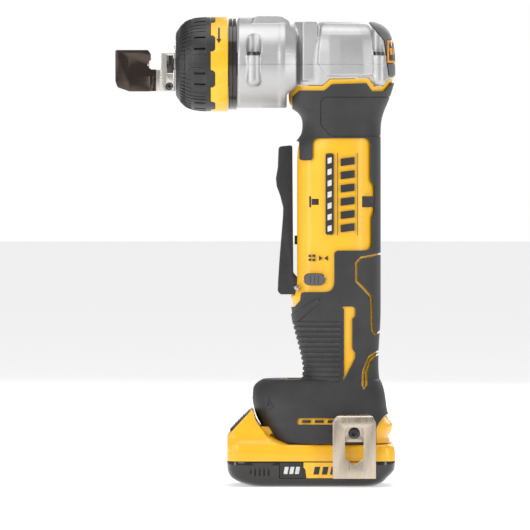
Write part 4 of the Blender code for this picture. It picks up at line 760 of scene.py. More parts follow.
def makeHandle():
    # shell: a core under the rubber, with its bare panels standing up through the windows
    core = handleForm("shellCore", handle["rubber"] + 0.25)
    panels = handleForm("shellPanels", handle["panelSink"])
    shown = windowCutters(-0.28)
    lines = [ribbon(f"rearLine{i}", line, 1.1, -60, 60) for i, line in enumerate(rearLines)]
    band = aboveLine("bandZone", bandLine, -0.3)
    shown[0] = carve(shown[0], shown[1:] + lines + [band], "UNION")
    carve(panels, shown[0], "INTERSECT")
    carve(core, panels, "UNION")
    hollow = bodyForm("shellHollow", handleRings, handle["squareness"], handle["rubber"] + 0.25 + 2.6, 1)
    footHollow = bodyForm("footHollow", [(z - 6 * (z < 30), f, r, h) for z, f, r, h in footRings],
                          handle["footSquareness"], handle["rubber"] + 0.25 + 2.6, 1)
    carve(core, [hollow, footHollow, aboveLine("headCut", trimLine, 0.25)] + handlePassages())
    for x in (2.7, 38.2):
        carve(core, [block("ventSlot", (x - 2.4, -60, 189), (x + 2.4, 60, 193.1))])
    return core


def makeRubber():
    skin = handleForm("rubberSkin")
    ribs = handle["ribs"]
    bars = []
    for i in range(ribs["count"]):
        z = ribs["first"] + ribs["pitch"] * i
        back = ribs["back"] - (1.5 if i == 0 else 0)
        bars.append(plate(f"rib{i}", [(-30, z - ribs["thick"] / 2), (back, z - ribs["thick"] / 2, 0.85),
                                      (back, z + ribs["thick"] / 2, 0.85), (-30, z + ribs["thick"] / 2)],
                                      "Y", -40, 40, 3))
    ridge = plate("gripRidge", [(-30, 108.0), (-9, 110.5), (-1, 117.6, 3), (6, 123.6, 1), (4.4, 126.0, 1),
        (-4, 121.0, 3), (-12, 115.4), (-30, 113)], "Y", -40, 40, 4)
    carve(bars[0], bars[1:] + [ridge], "UNION")
    ribForm = bodyForm("ribForm", handleRings[:12], handle["squareness"], -ribs["proud"])
    carve(ribForm, bars[0], "INTERSECT")
    carve(skin, ribForm, "UNION")
    core = handleForm("rubberCore", handle["rubber"], 10)
    carve(skin, [core, aboveLine("bandCut", bandLine)])
    # the neck's panel is drawn with a shallow groove
    neckLine = [(60, 261.5), (10.4, 261.5), (7.6, 260.6), (6.5, 258), (6.5, 243.4), (8.2, 240.6), (11.8,
        236.6), (14.6, 235.2), (60, 235.2)]
    groove = ribbon("neckGroove", neckLine, 0.7, -60, 60)
    carve(groove, bodyForm("neckCore", handleRings, handle["squareness"], 0.6))
    carve(skin, groove)
    lines = [ribbon(f"rearGap{i}", line, 1.6, -60, 60) for i, line in enumerate(rearLines)]
    cutters = windowCutters()
    carve(skin, cutters + lines + handlePassages())
    return skin


def splitHalves(whole, leftName, rightName, leftNode, rightNode, finish, extraCuts=()):
    for name, side, node in ((leftName, -1, leftNode), (rightName, 1, rightNode)):
        half = twin(whole, name)
        startEdit(half)
        bpy.ops.mesh.bisect(
            plane_co=(0, side * handle["seam"] * mm, 0), plane_no=(0, side, 0), use_fill=True,
                clear_inner=True
        )
        endEdit()
        for cutter in extraCuts:
            if cutter[0] == side:
                carve(half, [cutter[1]()])
        cleanUp(half)
        piece = place(half, name, node, finish, 38)
    drop(whole)


screwSpots = [(37.55, 178, 17.5), (37.55, 144.9, 17.5), (38.65, 81.5, 11.0), (-24.0, 55.5, 22.5)]


def ovalPoints(centre, length, height, steps=14):
    points = []
    straight = (length - height) / 2
    for side in (1, -1):
        for i in range(steps + 1):
            turn = math.pi / 2 - math.pi * i / steps
            points.append((centre[0] + side * (straight + height / 2 * math.cos(turn)),
                centre[1] + side * height / 2 * math.sin(turn)))
    return points


shellCuts = [(1, lambda x=x, z=z, y=y: rod("screwWay", (x, y - 0.3, z), (x, 60, z), 3.45, 32)) for x, z,
    y in screwSpots]
shellCuts += [(-1, lambda: rod("hookSeat", (28.8, -60, 36.0), (28.8, -33, 36.0), 4.4, 32))]
buttonCut = lambda grow: (lambda: plate("buttonHole", ovalPoints((2.2, 138.9), 14.2 + 2 * grow,
    7.4 + 2 * grow), "Y", -60, 60))


def makeHandleHalves():
    shell = makeHandle()
    carve(shell, buttonCut(0.35)())
    dish = plate("buttonDish", ovalPoints((2.2, 138.9), 17.6, 10.6), "Y", 25.4, 60)
    otherDish = plate("buttonDish", ovalPoints((2.2, 138.9), 17.6, 10.6), "Y", -60, -25.4)
    carve(shell, [dish, otherDish])
    splitHalves(shell, "leftShell", "rightShell", "left_shell", "right_shell", bodyYellow, shellCuts)
    rubber = makeRubber()
    splitHalves(rubber, "leftRubber", "rightRubber", "left_overmold", "right_overmold", gripRubber, shellCuts)
    print("handle halves made")


makeHandleHalves()


# gear case: two castings, the rear bumper and its badge

gearCase = {
    "front": -49.6, "drumRear": -16.8, "radius": 31.3, "neckRear": -9.8, "neckRadius": 27.6, "voxel": 0.62,
    "seam": 0.13,
    "bosses": [(-38.6, 28.6), (45.4, 22.6)], "wellRadius": 19.5, "motorX": 20.5, "ramRadius": 10.6,
}
bumperEdge = [(39.4, 318), (39.4, 311.1), (44.5, 305.6), (49.5, 299.4), (51.3, 284.8), (52.5, 275.6)]
headRings = handleRings[-12:]


def caseForm(name, inset=0.0, levels=2):
    return bodyForm(name, headRings, handle["squareness"], inset, levels)


def makeGearCase():
    g = gearCase
    case = caseForm("gearCase", 0.5, 1)
    f, r = g["front"], g["radius"]
    drum = spun("drum", [(0, 0), (0, r - 0.8, 0.5), (0.8, r), (27.6, r), (28.8, r + 0.35, 1),
        (g["drumRear"] - f - 1, r + 0.35, 1),
                         (g["neckRear"] - f, g["neckRadius"]), (38, 20), (38, 0)], (f, 0, headZ), "X", 72)
    pads = [
        plate("topPad", [(-40, headZ + 25, 1), (-38, headZ + 32.0, 1), (-19.5, headZ + 32.0, 2), (-14.5,
            headZ + 29.2, 1.5), (-14.5, headZ + 20)],
              "Y", -15, 15),
        plate("lowPad", [(-34, headZ - 25), (-33, headZ - 31.9, 1), (-18.4, headZ - 31.9, 1), (-17.2,
            headZ - 25)], "Y", -13, 13),
        plate("neckStep", [(-6, headZ - 11), (-6, headZ + 28.2, 1), (-3.0, headZ + 28.6), (4, headZ + 28.6),
            (4, headZ - 11)], "Y", -26.3, 26.3),
    ]
    flank = caseForm("flank", -0.85, 1)
    carve(flank, plate("flankZone", [
        (4.5, headZ + 0.6, 2), (5.2, headZ + 13), (7.0, headZ + 27.2, 2), (38.4, headZ + 27.2, 3), (44.2,
        headZ + 18, 6), (47.4, headZ + 2, 4),
        (46.0, headZ - 4.4, 3), (39.5, headZ - 7.8, 3), (10.2, headZ - 7.8, 2),
    ], "Y", -60, 60), "INTERSECT")
    carve(case, [drum, flank] + pads, "UNION")
    bosses = []
    for x, y in g["bosses"]:
        for side in (-1, 1):
            bosses.append(spun("boss", [(0, 0), (0, 2.2), (1.2, 4.2), (3.4, 5.1), (20.6, 5.1), (20.6, 0)],
                               (x, y * side, headZ - 14.6), "Z", 32))
    carve(case, bosses, "UNION")
    below = plate("belowTrim", [(x, z - 0.0) for x, z in trimLine] + [(77, 200), (-56.5, 200)], "Y", -70, 70)
    edge = plate("bumperZone", [(x - 0.3, z) for x, z in bumperEdge] + [(90, 275.6), (90, 318)], "Y", -70, 70)
    carve(case, [below, edge])
    skirt = rod("skirt", (g["motorX"], 0, 251.8), (g["motorX"], 0, headZ - 11), g["wellRadius"] + 2.3, 48)
    carve(case, skirt, "UNION")
    carve(case, [
        rod("well", (g["motorX"], 0, 240), (g["motorX"], 0, headZ + 13), g["wellRadius"], 48),
        rod("ramWay", (f - 5, 0, headZ), (g["motorX"], 0, headZ), g["ramRadius"], 32),
    ])
    for x, y in g["bosses"]:
        for side in (-1, 1):
            carve(case, [
                rod("channel", (x, y * side, headZ + 7.4), (x, y * side, headZ + 40), 4.9, 32),
                rod("counterbore", (x, y * side, headZ + 3.7), (x, y * side, headZ + 20), 4.5, 32),
                rod("threadWay", (x, y * side, headZ - 10), (x, y * side, headZ + 20), 2.6, 16),
            ])
    addModifier(case, "REMESH", mode="VOXEL", voxel_size=g["voxel"] * mm)
    addModifier(case, "SMOOTH", factor=0.5, iterations=4)
    for name, side, node in (("gearCaseUpper", 1, "gear_case_upper"), ("gearCaseLower", -1,
        "gear_case_lower")):
        half = twin(case, name)
        startEdit(half)
        bpy.ops.mesh.bisect(
            plane_co=(0, 0, (headZ + side * g["seam"]) * mm), plane_no=(0, 0, side), use_fill=True,
                clear_inner=True
        )
        endEdit()
        place(half, name, node, castSilver, 40)
    drop(case)
    print("gear case made")


def makeBumper():
    bumper = caseForm("rearBumper", 0.1, 2)
    zone = plate("bumperKeep", bumperEdge + [(90, 275.6), (90, 318)], "Y", -70, 70)
    carve(bumper, zone, "INTERSECT")
    seat = block("badgeSeat", (50.9, -60, headZ + 0.6), (90, 60, headZ + 16.4))
    seatCore = caseForm("badgeCore", 1.6, 2)
    carve(seat, seatCore)
    carve(bumper, seat)
    addModifier(bumper, "REMESH", mode="VOXEL", voxel_size=0.45 * mm)
    addModifier(bumper, "SMOOTH", factor=0.5, iterations=3)
    place(bumper, "rearBumper", "rear_bumper", bumperGrey, 50)
    plateForm = caseForm("badgeForm", -0.15, 2)
    carve(plateForm, block("badgeZone", (51.2, -60, headZ + 0.9), (90, 60, headZ + 16.1)), "INTERSECT")
    carve(plateForm, caseForm("badgeInner", 1.4, 2))
    frame_ = plateForm
    sides = []
    for side in (-1, 1):
        sides.append(plate("badgeSide", [(52.4, headZ + 2.4, 0.8), (90, headZ + 2.4), (90, headZ + 14.6),
            (52.4, headZ + 14.6, 0.8)],
                           "Y", *sorted((side * 60, 0))))
    carve(frame_, sides)
    place(frame_, "badgeFrame", "rear_badge", badgeOrange, 40, replaces=False)
    black = caseForm("badgePlate", 0.35, 2)
    carve(black, block("badgeZone", (52.0, -60, headZ + 2.0), (90, 60, headZ + 15.0)), "INTERSECT")
    carve(black, caseForm("badgeInner", 1.45, 2))
    place(black, "badgePlate", "rear_badge", glossBlack, 40)
    # three plain bars stand where a maker's word would go
    bars = caseForm("badgeBars", 0.2, 2)
    strips = [block("strip", (50, y - 1.9, headZ + 6.4), (90, y + 1.9, headZ + 10.8)) for y in (-12, -6, 0,
        6, 12)]
    carve(strips[0], strips[1:], "UNION")
    carve(bars, strips[0], "INTERSECT")
    carve(bars, caseForm("badgeInner", 1.2, 2))
    place(bars, "badgeBars", "rear_badge", badgeOrange, 40, replaces=False)
    # a small dark plate lies on the drum's top pad
    plaque = plate("topPlaque", [(-36.4, -7.4, 1.2), (-21.4, -7.4, 1.2), (-21.4, 7.4, 1.2),
        (-36.4, 7.4, 1.2)], "Z", headZ + 31.2, headZ + 32.2)
    roundOff(plaque, 0.25, 2)
    place(plaque, "topPlaque", "gear_case_upper", labelBlack, 40, replaces=False)
    strips = [block("plaqueStrip", (x - 0.9, -4.6, headZ + 31.6), (x + 0.9, 4.6,
        headZ + 32.3)) for x in (-33, -29, -25)]
    joinUp(strips[0], strips[1:])
    roundOff(strips[0], 0.15, 1)
    place(strips[0], "plaqueStrips", "gear_case_upper", labelWhite, 40, replaces=False)
    print("bumper and badge made")


makeGearCase()
makeBumper()


# locking collar, its ring and the fixed band

collar = {
    "front": -91.1, "rear": -67.5, "ringRear": -55.9, "radius": 31.85, "tabs": 8, "tabHalf": 10.3,
    "tabTurn": -4, "tabReach": 2.7,
    "ribs": 60, "ribHalf": 0.28,
}


def turnAbout(obj, degrees, aim="X", centre=(0, 0, headZ)):
    startEdit(obj)
    bpy.ops.transform.rotate(value=-math.radians(degrees), orient_axis=aim,
        center_override=[c * mm for c in centre])
    endEdit()
    return obj


def ringOf(first, count, name, start=0.0, centre=(0, 0, headZ)):
    # copies a part round the punch's axis and joins them
    copies = [twin(first, name) for i in range(count - 1)]
    turnAbout(first, start, "X", centre)
    for i, each in enumerate(copies, 1):
        turnAbout(each, start + 360 / count * i, "X", centre)
    return joinUp(first, copies)


def makeCollar():
    c = collar
    f = c["front"]
    shape = [
        (0, 19.7), (0, 20.9, 0.6), (0.7, 22.3, 0.8), (2.7, 25.1, 3), (5.9, 27.3, 1), (6.3, 28.3, 0.5), (8.6,
        29.6, 4), (12.0, 30.7, 8), (16.1, 31.25, 8),
        (23.35, 31.75, 0.3), (23.35, 24.4), (8.4, 24.4), (6.4, 19.7),
    ]
    body = spun("lockCollar", shape, (f, 0, headZ), "X", 192)
    half = math.radians(c["tabHalf"]) * c["radius"]
    rear, reach = c["rear"], c["tabReach"]
    tab = plate("tab", [(rear - 3, -half), (rear + reach - 1.3, -half), (rear + reach, -half + 1.3),
        (rear + reach, half - 1.3),
                        (rear + reach - 1.3, half), (rear - 3, half)], "Z", headZ + 28.4, headZ + 40)
    ringOf(tab, c["tabs"], "tab", 22.5 + c["tabTurn"] - 360 / c["tabs"] * 0.5 + 22.5)
    sleeve = spun("tabSleeve", [(-2.6, 29.35), (-2.6, 31.65), (4, 31.65), (4, 29.35)], (rear, 0, headZ),
        "X", 192)
    carve(tab, sleeve, "INTERSECT")
    carve(body, tab, "UNION")
    # fine ribs all over the waist and the middle, then raised grips with two deep slots each
    rib = plate("fineRib", [(f + 2.9, headZ + 20), (f + 2.9, headZ + 25.6, 0.6), (f + 6.2, headZ + 28.75),
        (f + 8.6, headZ + 29.95), (f + 12.0, headZ + 31.0),
                            (f + 16, headZ + 31.55), (f + 20.6, headZ + 31.8, 0.6), (f + 20.6, headZ + 20)],
                            "Y", -c["ribHalf"], c["ribHalf"])
    ringOf(rib, c["ribs"], "fineRib", 3)
    pad = plate("gripPad", [(f + 10.4, -7.6, 1.6), (f + 21.0, -7.6, 1), (f + 21.0, 7.6, 1),
        (f + 10.4, 7.6, 1.6)], "Z", headZ + 20, headZ + 40)
    ringOf(pad, c["tabs"], "gripPad", 18.5)
    padForm = spun("padForm", [(9.6, 24), (9.6, 30.2), (12.0, 31.15), (16.1, 31.7, 8), (21.4, 31.95),
        (21.4, 24)], (f, 0, headZ), "X", 192)
    carve(pad, padForm, "INTERSECT")
    carve(body, pad, "UNION")
    slot = plate("gripSlot", [(f + 12.4, -1.0, 0.9), (f + 20.2, -1.0, 0.9), (f + 20.2, 1.0, 0.9),
        (f + 12.4, 1.0, 0.9)], "Z", headZ + 29.4, headZ + 40)
    startEdit(slot)
    bpy.ops.transform.rotate(value=math.radians(7.5), orient_axis="X", center_override=(0, 0, headZ * mm))
    endEdit()
    other = twin(slot, "gripSlot")
    turnAbout(other, 15)
    joinUp(slot, [other])
    ringOf(slot, c["tabs"], "gripSlot", 18.5)
    carve(body, slot)
    cleanUp(body)
    joinUp(body, [rib])
    place(body, "lockCollar", "lock_collar", satinBlack, 30)

    ring = spun("collarRing", [(0, 25.2), (0, 31.5), (0.35, 31.85), (11.1, 31.85), (11.6, 31.3),
        (11.6, 25.2)], (rear, 0, headZ), "X", 192)
    gap = 0.35
    notch = plate("notch", [(rear - 4, -half - gap), (rear + reach + gap - 1.5, -half - gap),
        (rear + reach + gap, -half - gap + 1.5),
                            (rear + reach + gap, half + gap - 1.5), (rear + reach + gap - 1.5, half + gap),
                            (rear - 4, half + gap)],
                  "Z", headZ + 28.1, headZ + 40)
    ringOf(notch, c["tabs"], "notch", 22.5 + c["tabTurn"] - 360 / c["tabs"] * 0.5 + 22.5)
    carve(ring, notch)
    roundOff(ring, 0.22, 2, 40)
    place(ring, "collarRing", "collar_ring", bodyYellow, 30)
    # a plain arrow lies in the ring's near side, and one opposite
    arrow = plate("turnArrow", [(-62.6, headZ + 24.6), (-61.4, headZ + 24.6), (-61.4, headZ + 17.0),
        (-60.2, headZ + 17.0), (-62.0, headZ + 14.0),
                                (-63.8, headZ + 17.0), (-62.6, headZ + 17.0)], "Y", -60, 0)
    skin = spun("arrowSkin", [(2, 31.4), (2, 31.97), (9, 31.97), (9, 31.4)], (rear, 0, headZ), "X", 256)
    carve(arrow, skin, "INTERSECT")
    other = turnAbout(twin(arrow, "turnArrow"), 180)
    joinUp(arrow, [other])
    place(arrow, "turnArrow", "collar_ring", labelBlack, 40, replaces=False)

    band = spun("frontBand", [(0, 15.5), (0, 30.1, 0.4), (0.6, 30.75), (2.6, 30.75), (2.9, 30.5),
        (3.2, 30.75), (5.1, 30.75), (5.7, 30.3), (5.7, 15.5)],
                (-55.6, 0, headZ), "X", 192)
    place(band, "frontBand", "front_ring", glossBlack, 30)
    print("collar made")


makeCollar()


# nibbling head

nose = {"bottom": headZ - 18.4, "top": headZ + 9.6, "half": 8.0, "blockHalf": 11.0}


def makeNose():
    low, high, half = nose["bottom"], nose["top"], nose["half"]
    right, left, armTop = -108.1, -131.9, headZ - 3.2
    jaw = plate("dieCarrier", [
        (left, high, 1.2), (right - 1.7, high, 1), (right, high - 2.6, 0.8), (right, armTop + 1), (right,
        low), (left + 9.5, low, 3), (left + 1.4, low + 2.8, 2.5),
        (left, low + 7, 1),
    ], "Y", -half, half)
    roundOff(jaw, 0.5, 3)
    arm = plate("arm", [(right - 4, low + 0.2), (-91.7, low + 0.2), (-91.7, armTop - 0.3), (-101.5,
        armTop - 0.3, 0.5), (right - 4, armTop - 0.3)], "Y", -5.6, 5.6)
    roundOff(arm, 0.6, 3)
    # the arm's side sweeps out into the plate
    for side in (-1, 1):
        sweep = rod("sweep", (right - 0.2, side * 5.2, low + 0.3), (right - 0.2, side * 5.2, armTop - 0.4),
            2.9, 48)
        carve(jaw, sweep, "UNION")
    noseBlock = plate("noseBlock", [
        (-101, headZ - 13.2, 1), (-101, headZ + 9.4, 1.4), (-98.2, headZ + 12.2, 2), (-91.7, headZ + 13,
        0.5), (-91.7, low + 0.2, 0.6), (-99.2, low + 0.2, 1.2),
    ], "Y", -11, 11)
    roundOff(noseBlock, 1.1, 4)
    edges = [plate("edgeCut", [(s * 12, headZ + 6.4), (s * 5.2, headZ + 15), (s * 12, headZ + 15)], "X",
        -106, -86) for s in (-1, 1)]
    carve(noseBlock, edges)
    carve(jaw, [arm, noseBlock], "UNION")
    notch = rod("throatNotch", (right + 0.8, -14, headZ - 0.2), (right + 0.8, 14, headZ - 0.2), 3.0, 64)
    pocket = [(left + 8.6, headZ + 6.6, 3.4), (right + 3, headZ + 6.6), (right + 3, headZ - 8.4),
        (left + 8.6, headZ - 8.4, 3.4)]
    cuts = [notch]
    for side in (-1, 1):
        cuts.append(plate("platePocket", pocket, "Y", *sorted((side * (half - 1.1), side * (half + 6))), 10))
    carve(jaw, cuts)
    carve(jaw, [
        plate("guideWindow", [(-97.3, headZ - 6.5, 0.6), (-92.35, headZ - 6.5, 0.6), (-92.35, headZ + 6.5,
            0.6), (-97.3, headZ + 6.5, 0.6)], "Y", -15, 15),
        rod("shankWay", (-106.2, 0, headZ), (-88, 0, headZ), 4.4, 40),
        rod("slugWay", (-135, 0, headZ), (right - 1, 0, headZ), 3.4, 40),
        rod("insertSeat", (right - 8.2, 0, headZ), (right + 3, 0, headZ), 4.6, 40),
        rod("clampWay", (-95.4, -14, headZ - 14.8), (-95.4, 0.5, headZ - 14.8), 2.55, 40),
    ])
    cleanUp(jaw)
    roundOff(jaw, 0.16, 2, 50)
    noseHalf = twin(jaw, "noseBlock")
    startEdit(noseHalf)
    bpy.ops.mesh.bisect(plane_co=(-104.4 * mm, 0, 0), plane_no=(1, 0, 0), use_fill=True, clear_inner=True)
    endEdit()
    startEdit(jaw)
    bpy.ops.mesh.bisect(plane_co=(-104.4 * mm, 0, 0), plane_no=(1, 0, 0), use_fill=True, clear_outer=True)
    endEdit()
    place(jaw, "diePlate", "die_carrier", polishedDark, 28)
    place(noseHalf, "noseBlock", "die_carrier", plainNickel, 28)
    screw = spun("clampScrew", [(0, 0), (0, 1.95), (0.45, 2.35, 0.2), (8.4, 2.35), (8.4, 0)], (-95.4, -10.7,
        headZ - 14.8), "Y", 48)
    hexagon = rod("hexKey", (-95.4, -12, headZ - 14.8), (-95.4, -8.4, headZ - 14.8), 1.35, 6)
    carve(screw, hexagon)
    place(screw, "clampScrew", "clamp_screw", blackedSteel, 30)
    fineCopySlot("punch_guide", "punchGuide", glossBlack, 0.3)
    fineCopySlot("die_insert", "dieInsert", groundSteel, 0.15)
    fineCopySlot("punch", "punchBody", groundSteel, 0.15)
    print("nibbling head made")


def fineCopySlot(node, name, finish, width=0.25, segments=2, angle=30):
    return fineCopy(node, name, finish, width, segments, angle)


makeNose()


# paddle, selector button and work light

paddle = {"half": 11.5, "pin": (-9.6, 133)}
paddleLine = [
    (-12.6, 229, 1.5), (-21.9, 228.0, 2.5), (-22.4, 214.2, 6), (-23.7, 206.6, 6), (-23.2, 201.4, 5), (-20.9,
    195.2, 8), (-18.8, 187.0, 8),
    (-18.9, 181.5, 8), (-19.9, 169, 10), (-21.2, 153.4, 10), (-22.2, 138.0, 8), (-22.5, 130.6, 2.2), (-20.6,
    128.5, 1.5), (-14.4, 128.5),
    (-7.0, 128.5, 1), (-7.0, 137.2, 1.5), (-12.0, 143.0, 3),
]


def makePaddle():
    lever = plate("paddle", paddleLine, "Y", -paddle["half"], paddle["half"], 8)
    roundOff(lever, 1.6, 4, 40)
    # a shallow finger hollow runs down the face, with the moulding's ribs behind it
    hollow = plate("faceHollow", [(-34, 222, 4), (-23.3, 214, 6), (-24.3, 205), (-21.2, 194, 8),
        (-19.6, 184, 8), (-21.0, 166, 8), (-22.4, 150), (-23.2, 136, 6), (-34, 132, 4)],
                   "Y", -7.2, 7.2, 8)
    roundOff(hollow, 1.2, 3, 40)
    carve(lever, hollow)
    back = plate("backPocket", [(-13.8, 224), (-19.6, 223, 1), (-20.4, 207, 2), (-17.4, 190, 4),
        (-16.6, 182, 4), (-18.2, 160, 3), (-19.4, 146, 1), (-11.0, 146), (-11, 224)],
                 "Y", -9.4, 9.4)
    carve(lever, back)
    pinWay = rod("pinWay", (-9.6, -15, 133), (-9.6, 15, 133), 1.9, 32)
    carve(lever, pinWay)
    cleanUp(lever)
    place(lever, "paddle", "paddle_trigger", paddleBlack, 35)
    fineCopySlot("paddle_pin", "paddlePin", groundSteel, 0.3)
    print("paddle made")


def makeButton():
    made = plate("selectorButton", ovalPoints((2.2, 138.9), 14.2, 7.4, 20), "Y", -28.2, 28.2)
    roundOff(made, 0.7, 4, 50)
    # two fine grip lines across each end face
    marks = [plate("buttonMark", [(x - 0.3, 136.4, 0.25), (x + 0.3, 136.4, 0.25), (x + 0.3, 141.4, 0.25),
        (x - 0.3, 141.4, 0.25)], "Y", low, low + 3)
             for x in (-0.4, 2.2, 4.8) for low in (-30.7, 27.7)]
    carve(made, marks)
    cleanUp(made)
    place(made, "selectorButton", "selector_button", buttonGrey, 35)


def makeLens():
    lens = block("workLight", (-39.1, -6.9, 59.6), (-33.2, 6.9, 65.9))
    startEdit(lens, "FACE")
    pickNear(lens, lambda p: p.x < -38)
    bpy.ops.mesh.inset(thickness=1.2 * mm, depth=-0.5 * mm)
    endEdit()
    roundOff(lens, 0.5, 3)
    place(lens, "workLight", "led_lens", lensClear, 40)
    print("button and light made")


makePaddle()
makeButton()
makeLens()


# battery pack

pack = {"long": 56.7, "wide": 37.5, "seam": 16.6, "top": 28.1, "corner": 11}


def roundedRing(front, rear, half, corner):
    return arcCorners([(front, -half, corner), (rear, -half, corner), (rear, half, corner), (front, half,
        corner)], 8)


def stack(name, rings, corner):
    # a rounded outline seen from above, pulled up through (height, front, rear, half width)
    height, front, rear, half = rings[0]
    obj = drawLine(name, roundedRing(front, rear, half, corner), lambda a, b: (a, b, height))
    startEdit(obj)
    bpy.ops.mesh.select_all(action="SELECT")
    for i, (height, front, rear, half) in enumerate(rings[1:], 1):
        before = rings[i - 1]
        shift = ((front + rear) / 2 - (before[1] + before[2]) / 2, 0, height - before[0])
        bpy.ops.mesh.extrude_region_move(TRANSFORM_OT_translate={"value": [s * mm for s in shift]})
        bpy.ops.transform.resize(value=((rear - front) / (before[2] - before[1]), half / before[3], 1),
                                 center_override=((front + rear) / 2 * mm, 0, height * mm))
    for level in (rings[0][0], rings[-1][0]):
        pickNear(obj, lambda p: abs(p.z - level) < 0.01)
        bpy.ops.mesh.edge_face_add()
    endEdit()
    cleanUp(obj)
    return settle(obj, name)


def makeLowerCase():
    p = pack
    case = stack("batteryLower", [
        (0, -40.2, 42.2, 30.5), (0.5, -42.5, 44.0, 32.0), (2, -47.0, 47.2, 34.7), (3.6, -50.6, 49.4, 35.8),
        (6, -54.1, 51.6, 36.8), (8.4, -55.6, 54.2, 37.2),
        (11, -56.4, 56.1, 37.4), (13.8, -56.6, 56.5, 37.5), (16.6, -56.7, 56.7, 37.5)], p["corner"])
    carve(case, stack("batteryWell", [(2.4, -43, 43, 31.5), (7, -51.5, 49, 34.4), (20, -54.2, 54.2, 35.2)],
        p["corner"] - 2))
    # upright finger grooves near the front, both sides
    grooves = []
    for i in range(5):
        x = -40.6 + 3.0 * i
        tall = (7.2, 15.0) if i else (8.6, 13.6)
        for side in (-1, 1):
            grooves.append(plate("fingerGroove", [(x - 0.65, tall[0], 0.6), (x + 0.65, tall[0], 0.6),
                (x + 0.65, tall[1], 0.6), (x - 0.65, tall[1], 0.6)],
                                 "Y", *sorted((side * 36.55, side * 45))))
    panels = [plate("labelBed", [(-21.6, 5.4, 0.8), (39.5, 5.4, 0.8), (39.5, 18), (-21.6, 18)], "Y",
        *sorted((side * 36.35, side * 45))) for side in (-1, 1)]
    carve(case, grooves + panels)
    # corner foot cut-ins front and rear
    lips = [block("cornerCut", (low, -50, 5.0), (high, 50, 6.1)) for low, high in ((-70, -53.6), (52.4, 70))]
    carve(case, lips)
    cleanUp(case)
    roundOff(case, 0.3, 2, 50)
    place(case, "batteryLower", "battery_lower_case", glossBlack, 34)
    # printed side panels: black beside yellow, with plain slanted bars where words would be
    for side, tag in ((-1, "Left"), (1, "Right")):
        face = sorted((side * 36.45, side * 37.35))
        over = sorted((side * 37.3, side * 37.48))
        blackEnd = plate("labelBlack" + tag, [(-21.2, 5.8, 0.6), (-3.6, 5.8), (-4.4, 11.4), (-5.6, 12.8),
            (-5.6, 16.3), (-21.2, 16.3, 0.6)], "Y", *face)
        yellowEnd = plate("labelYellow" + tag, [(-3.2, 5.8), (39.1, 5.8, 0.6), (39.1, 16.3, 0.6),
            (-5.2, 16.3), (-5.2, 13.0), (-4.0, 11.6)], "Y", *face)
        place(blackEnd, "labelBlack" + tag, "battery_lower_case", labelBlack, 30, replaces=False)
        place(yellowEnd, "labelYellow" + tag, "battery_lower_case", batteryYellow, 30,
            replaces=False)
        pale = [plate("paleBar", [(x, 8.6), (x + 2.6, 8.6), (x + 3.5, 13.4), (x + 0.9, 13.4)], "Y",
            *over) for x in (-18.6, -14.8, -11.0)]
        dark = [plate("darkBar", [(x, 8.2), (x + 3.6, 8.2), (x + 4.6, 13.4), (x + 1.0, 13.4)], "Y",
            *over) for x in (1.4, 7.0, 12.6, 18.2, 23.8, 29.4)]
        joinUp(pale[0], pale[1:])
        joinUp(dark[0], dark[1:])
        place(pale[0], "paleBars" + tag, "battery_lower_case", labelWhite, 30, replaces=False)
        place(dark[0], "darkBars" + tag, "battery_lower_case", labelBlack, 30, replaces=False)
    print("battery base made")


def makeUpperCase():
    p = pack
    case = stack("batteryUpper", [(16.9, -56.7, 56.7, 37.5), (22.4, -56.7, 56.5, 37.5),
        (25.4, -56.5, 56.0, 37.1), (27.0, -56.3, 55.4, 36.4), (28.1, -55.8, 54.4, 35.2)],
                 p["corner"])
    tower = plate("tower", [
        (-56.5, 24.1), (-56.6, 33, 2.5), (-51.8, 38.6, 2), (-39.9, 51.4, 1.2), (-38.9, 50.6, 0.8), (-37.2,
        44, 3), (-30.9, 35.3, 3), (-25.4, 27.2, 1), (-25.4, 24.1),
    ], "Y", -33.5, 33.5)
    carve(tower, [plate("towerTaper", [(side * 33.8, 27), (side * 29.5, 52.5), (side * 40, 52.5),
        (side * 40, 27)], "X", -70, 0) for side in (-1, 1)])
    carve(tower, stack("towerPlan", [(20, -56.6, -20, 33.6), (60, -56.6, -20, 33.6)], 9), "INTERSECT")
    flare = stack("flare", [(24.0, -56.6, -12, 37.3), (28.1, -56.5, -14, 36.6), (31.0, -56.4, -22, 34.4),
        (34.0, -55.8, -28, 32.8)], 10)
    rails = block("rails", (-36, -24, 26), (28, 24, 40))
    railGrooves = [block("railGroove", (-28, low, 30.6), (40, high, 34.8)) for low, high in ((-26, -20.4),
        (20.4, 26))]
    roundOff(rails, 0.6, 2)
    carve(rails, railGrooves)
    carve(case, [tower, rails], "UNION")
    carve(case, flare, "UNION")
    carve(case, stack("upperWell", [(10, -54.4, 54.4, 35.2), (25.0, -53.4, 52.4, 33.9)], p["corner"] - 2))
    carve(case, [block("bladeSlot", (17.5, y - 1.0, 30.7), (33, y + 1.0, 45)) for y in (-15, -7.5, 0, 7.5,
        15)])
    pocket = plate("latchPocket", latchLine(0.7, True), "Y", -17.7, 17.7)
    carve(case, pocket)
    cleanUp(case)
    addModifier(case, "REMESH", mode="VOXEL", voxel_size=0.55 * mm)
    addModifier(case, "SMOOTH", factor=0.5, iterations=3)
    # the base seam is cut flat again after smoothing
    startEdit(case)
    bpy.ops.mesh.bisect(plane_co=(0, 0, 16.95 * mm), plane_no=(0, 0, 1), use_fill=True, clear_inner=True)
    endEdit()
    place(case, "batteryUpper", "battery_upper_case", batteryYellow, 40)
    print("battery top made")


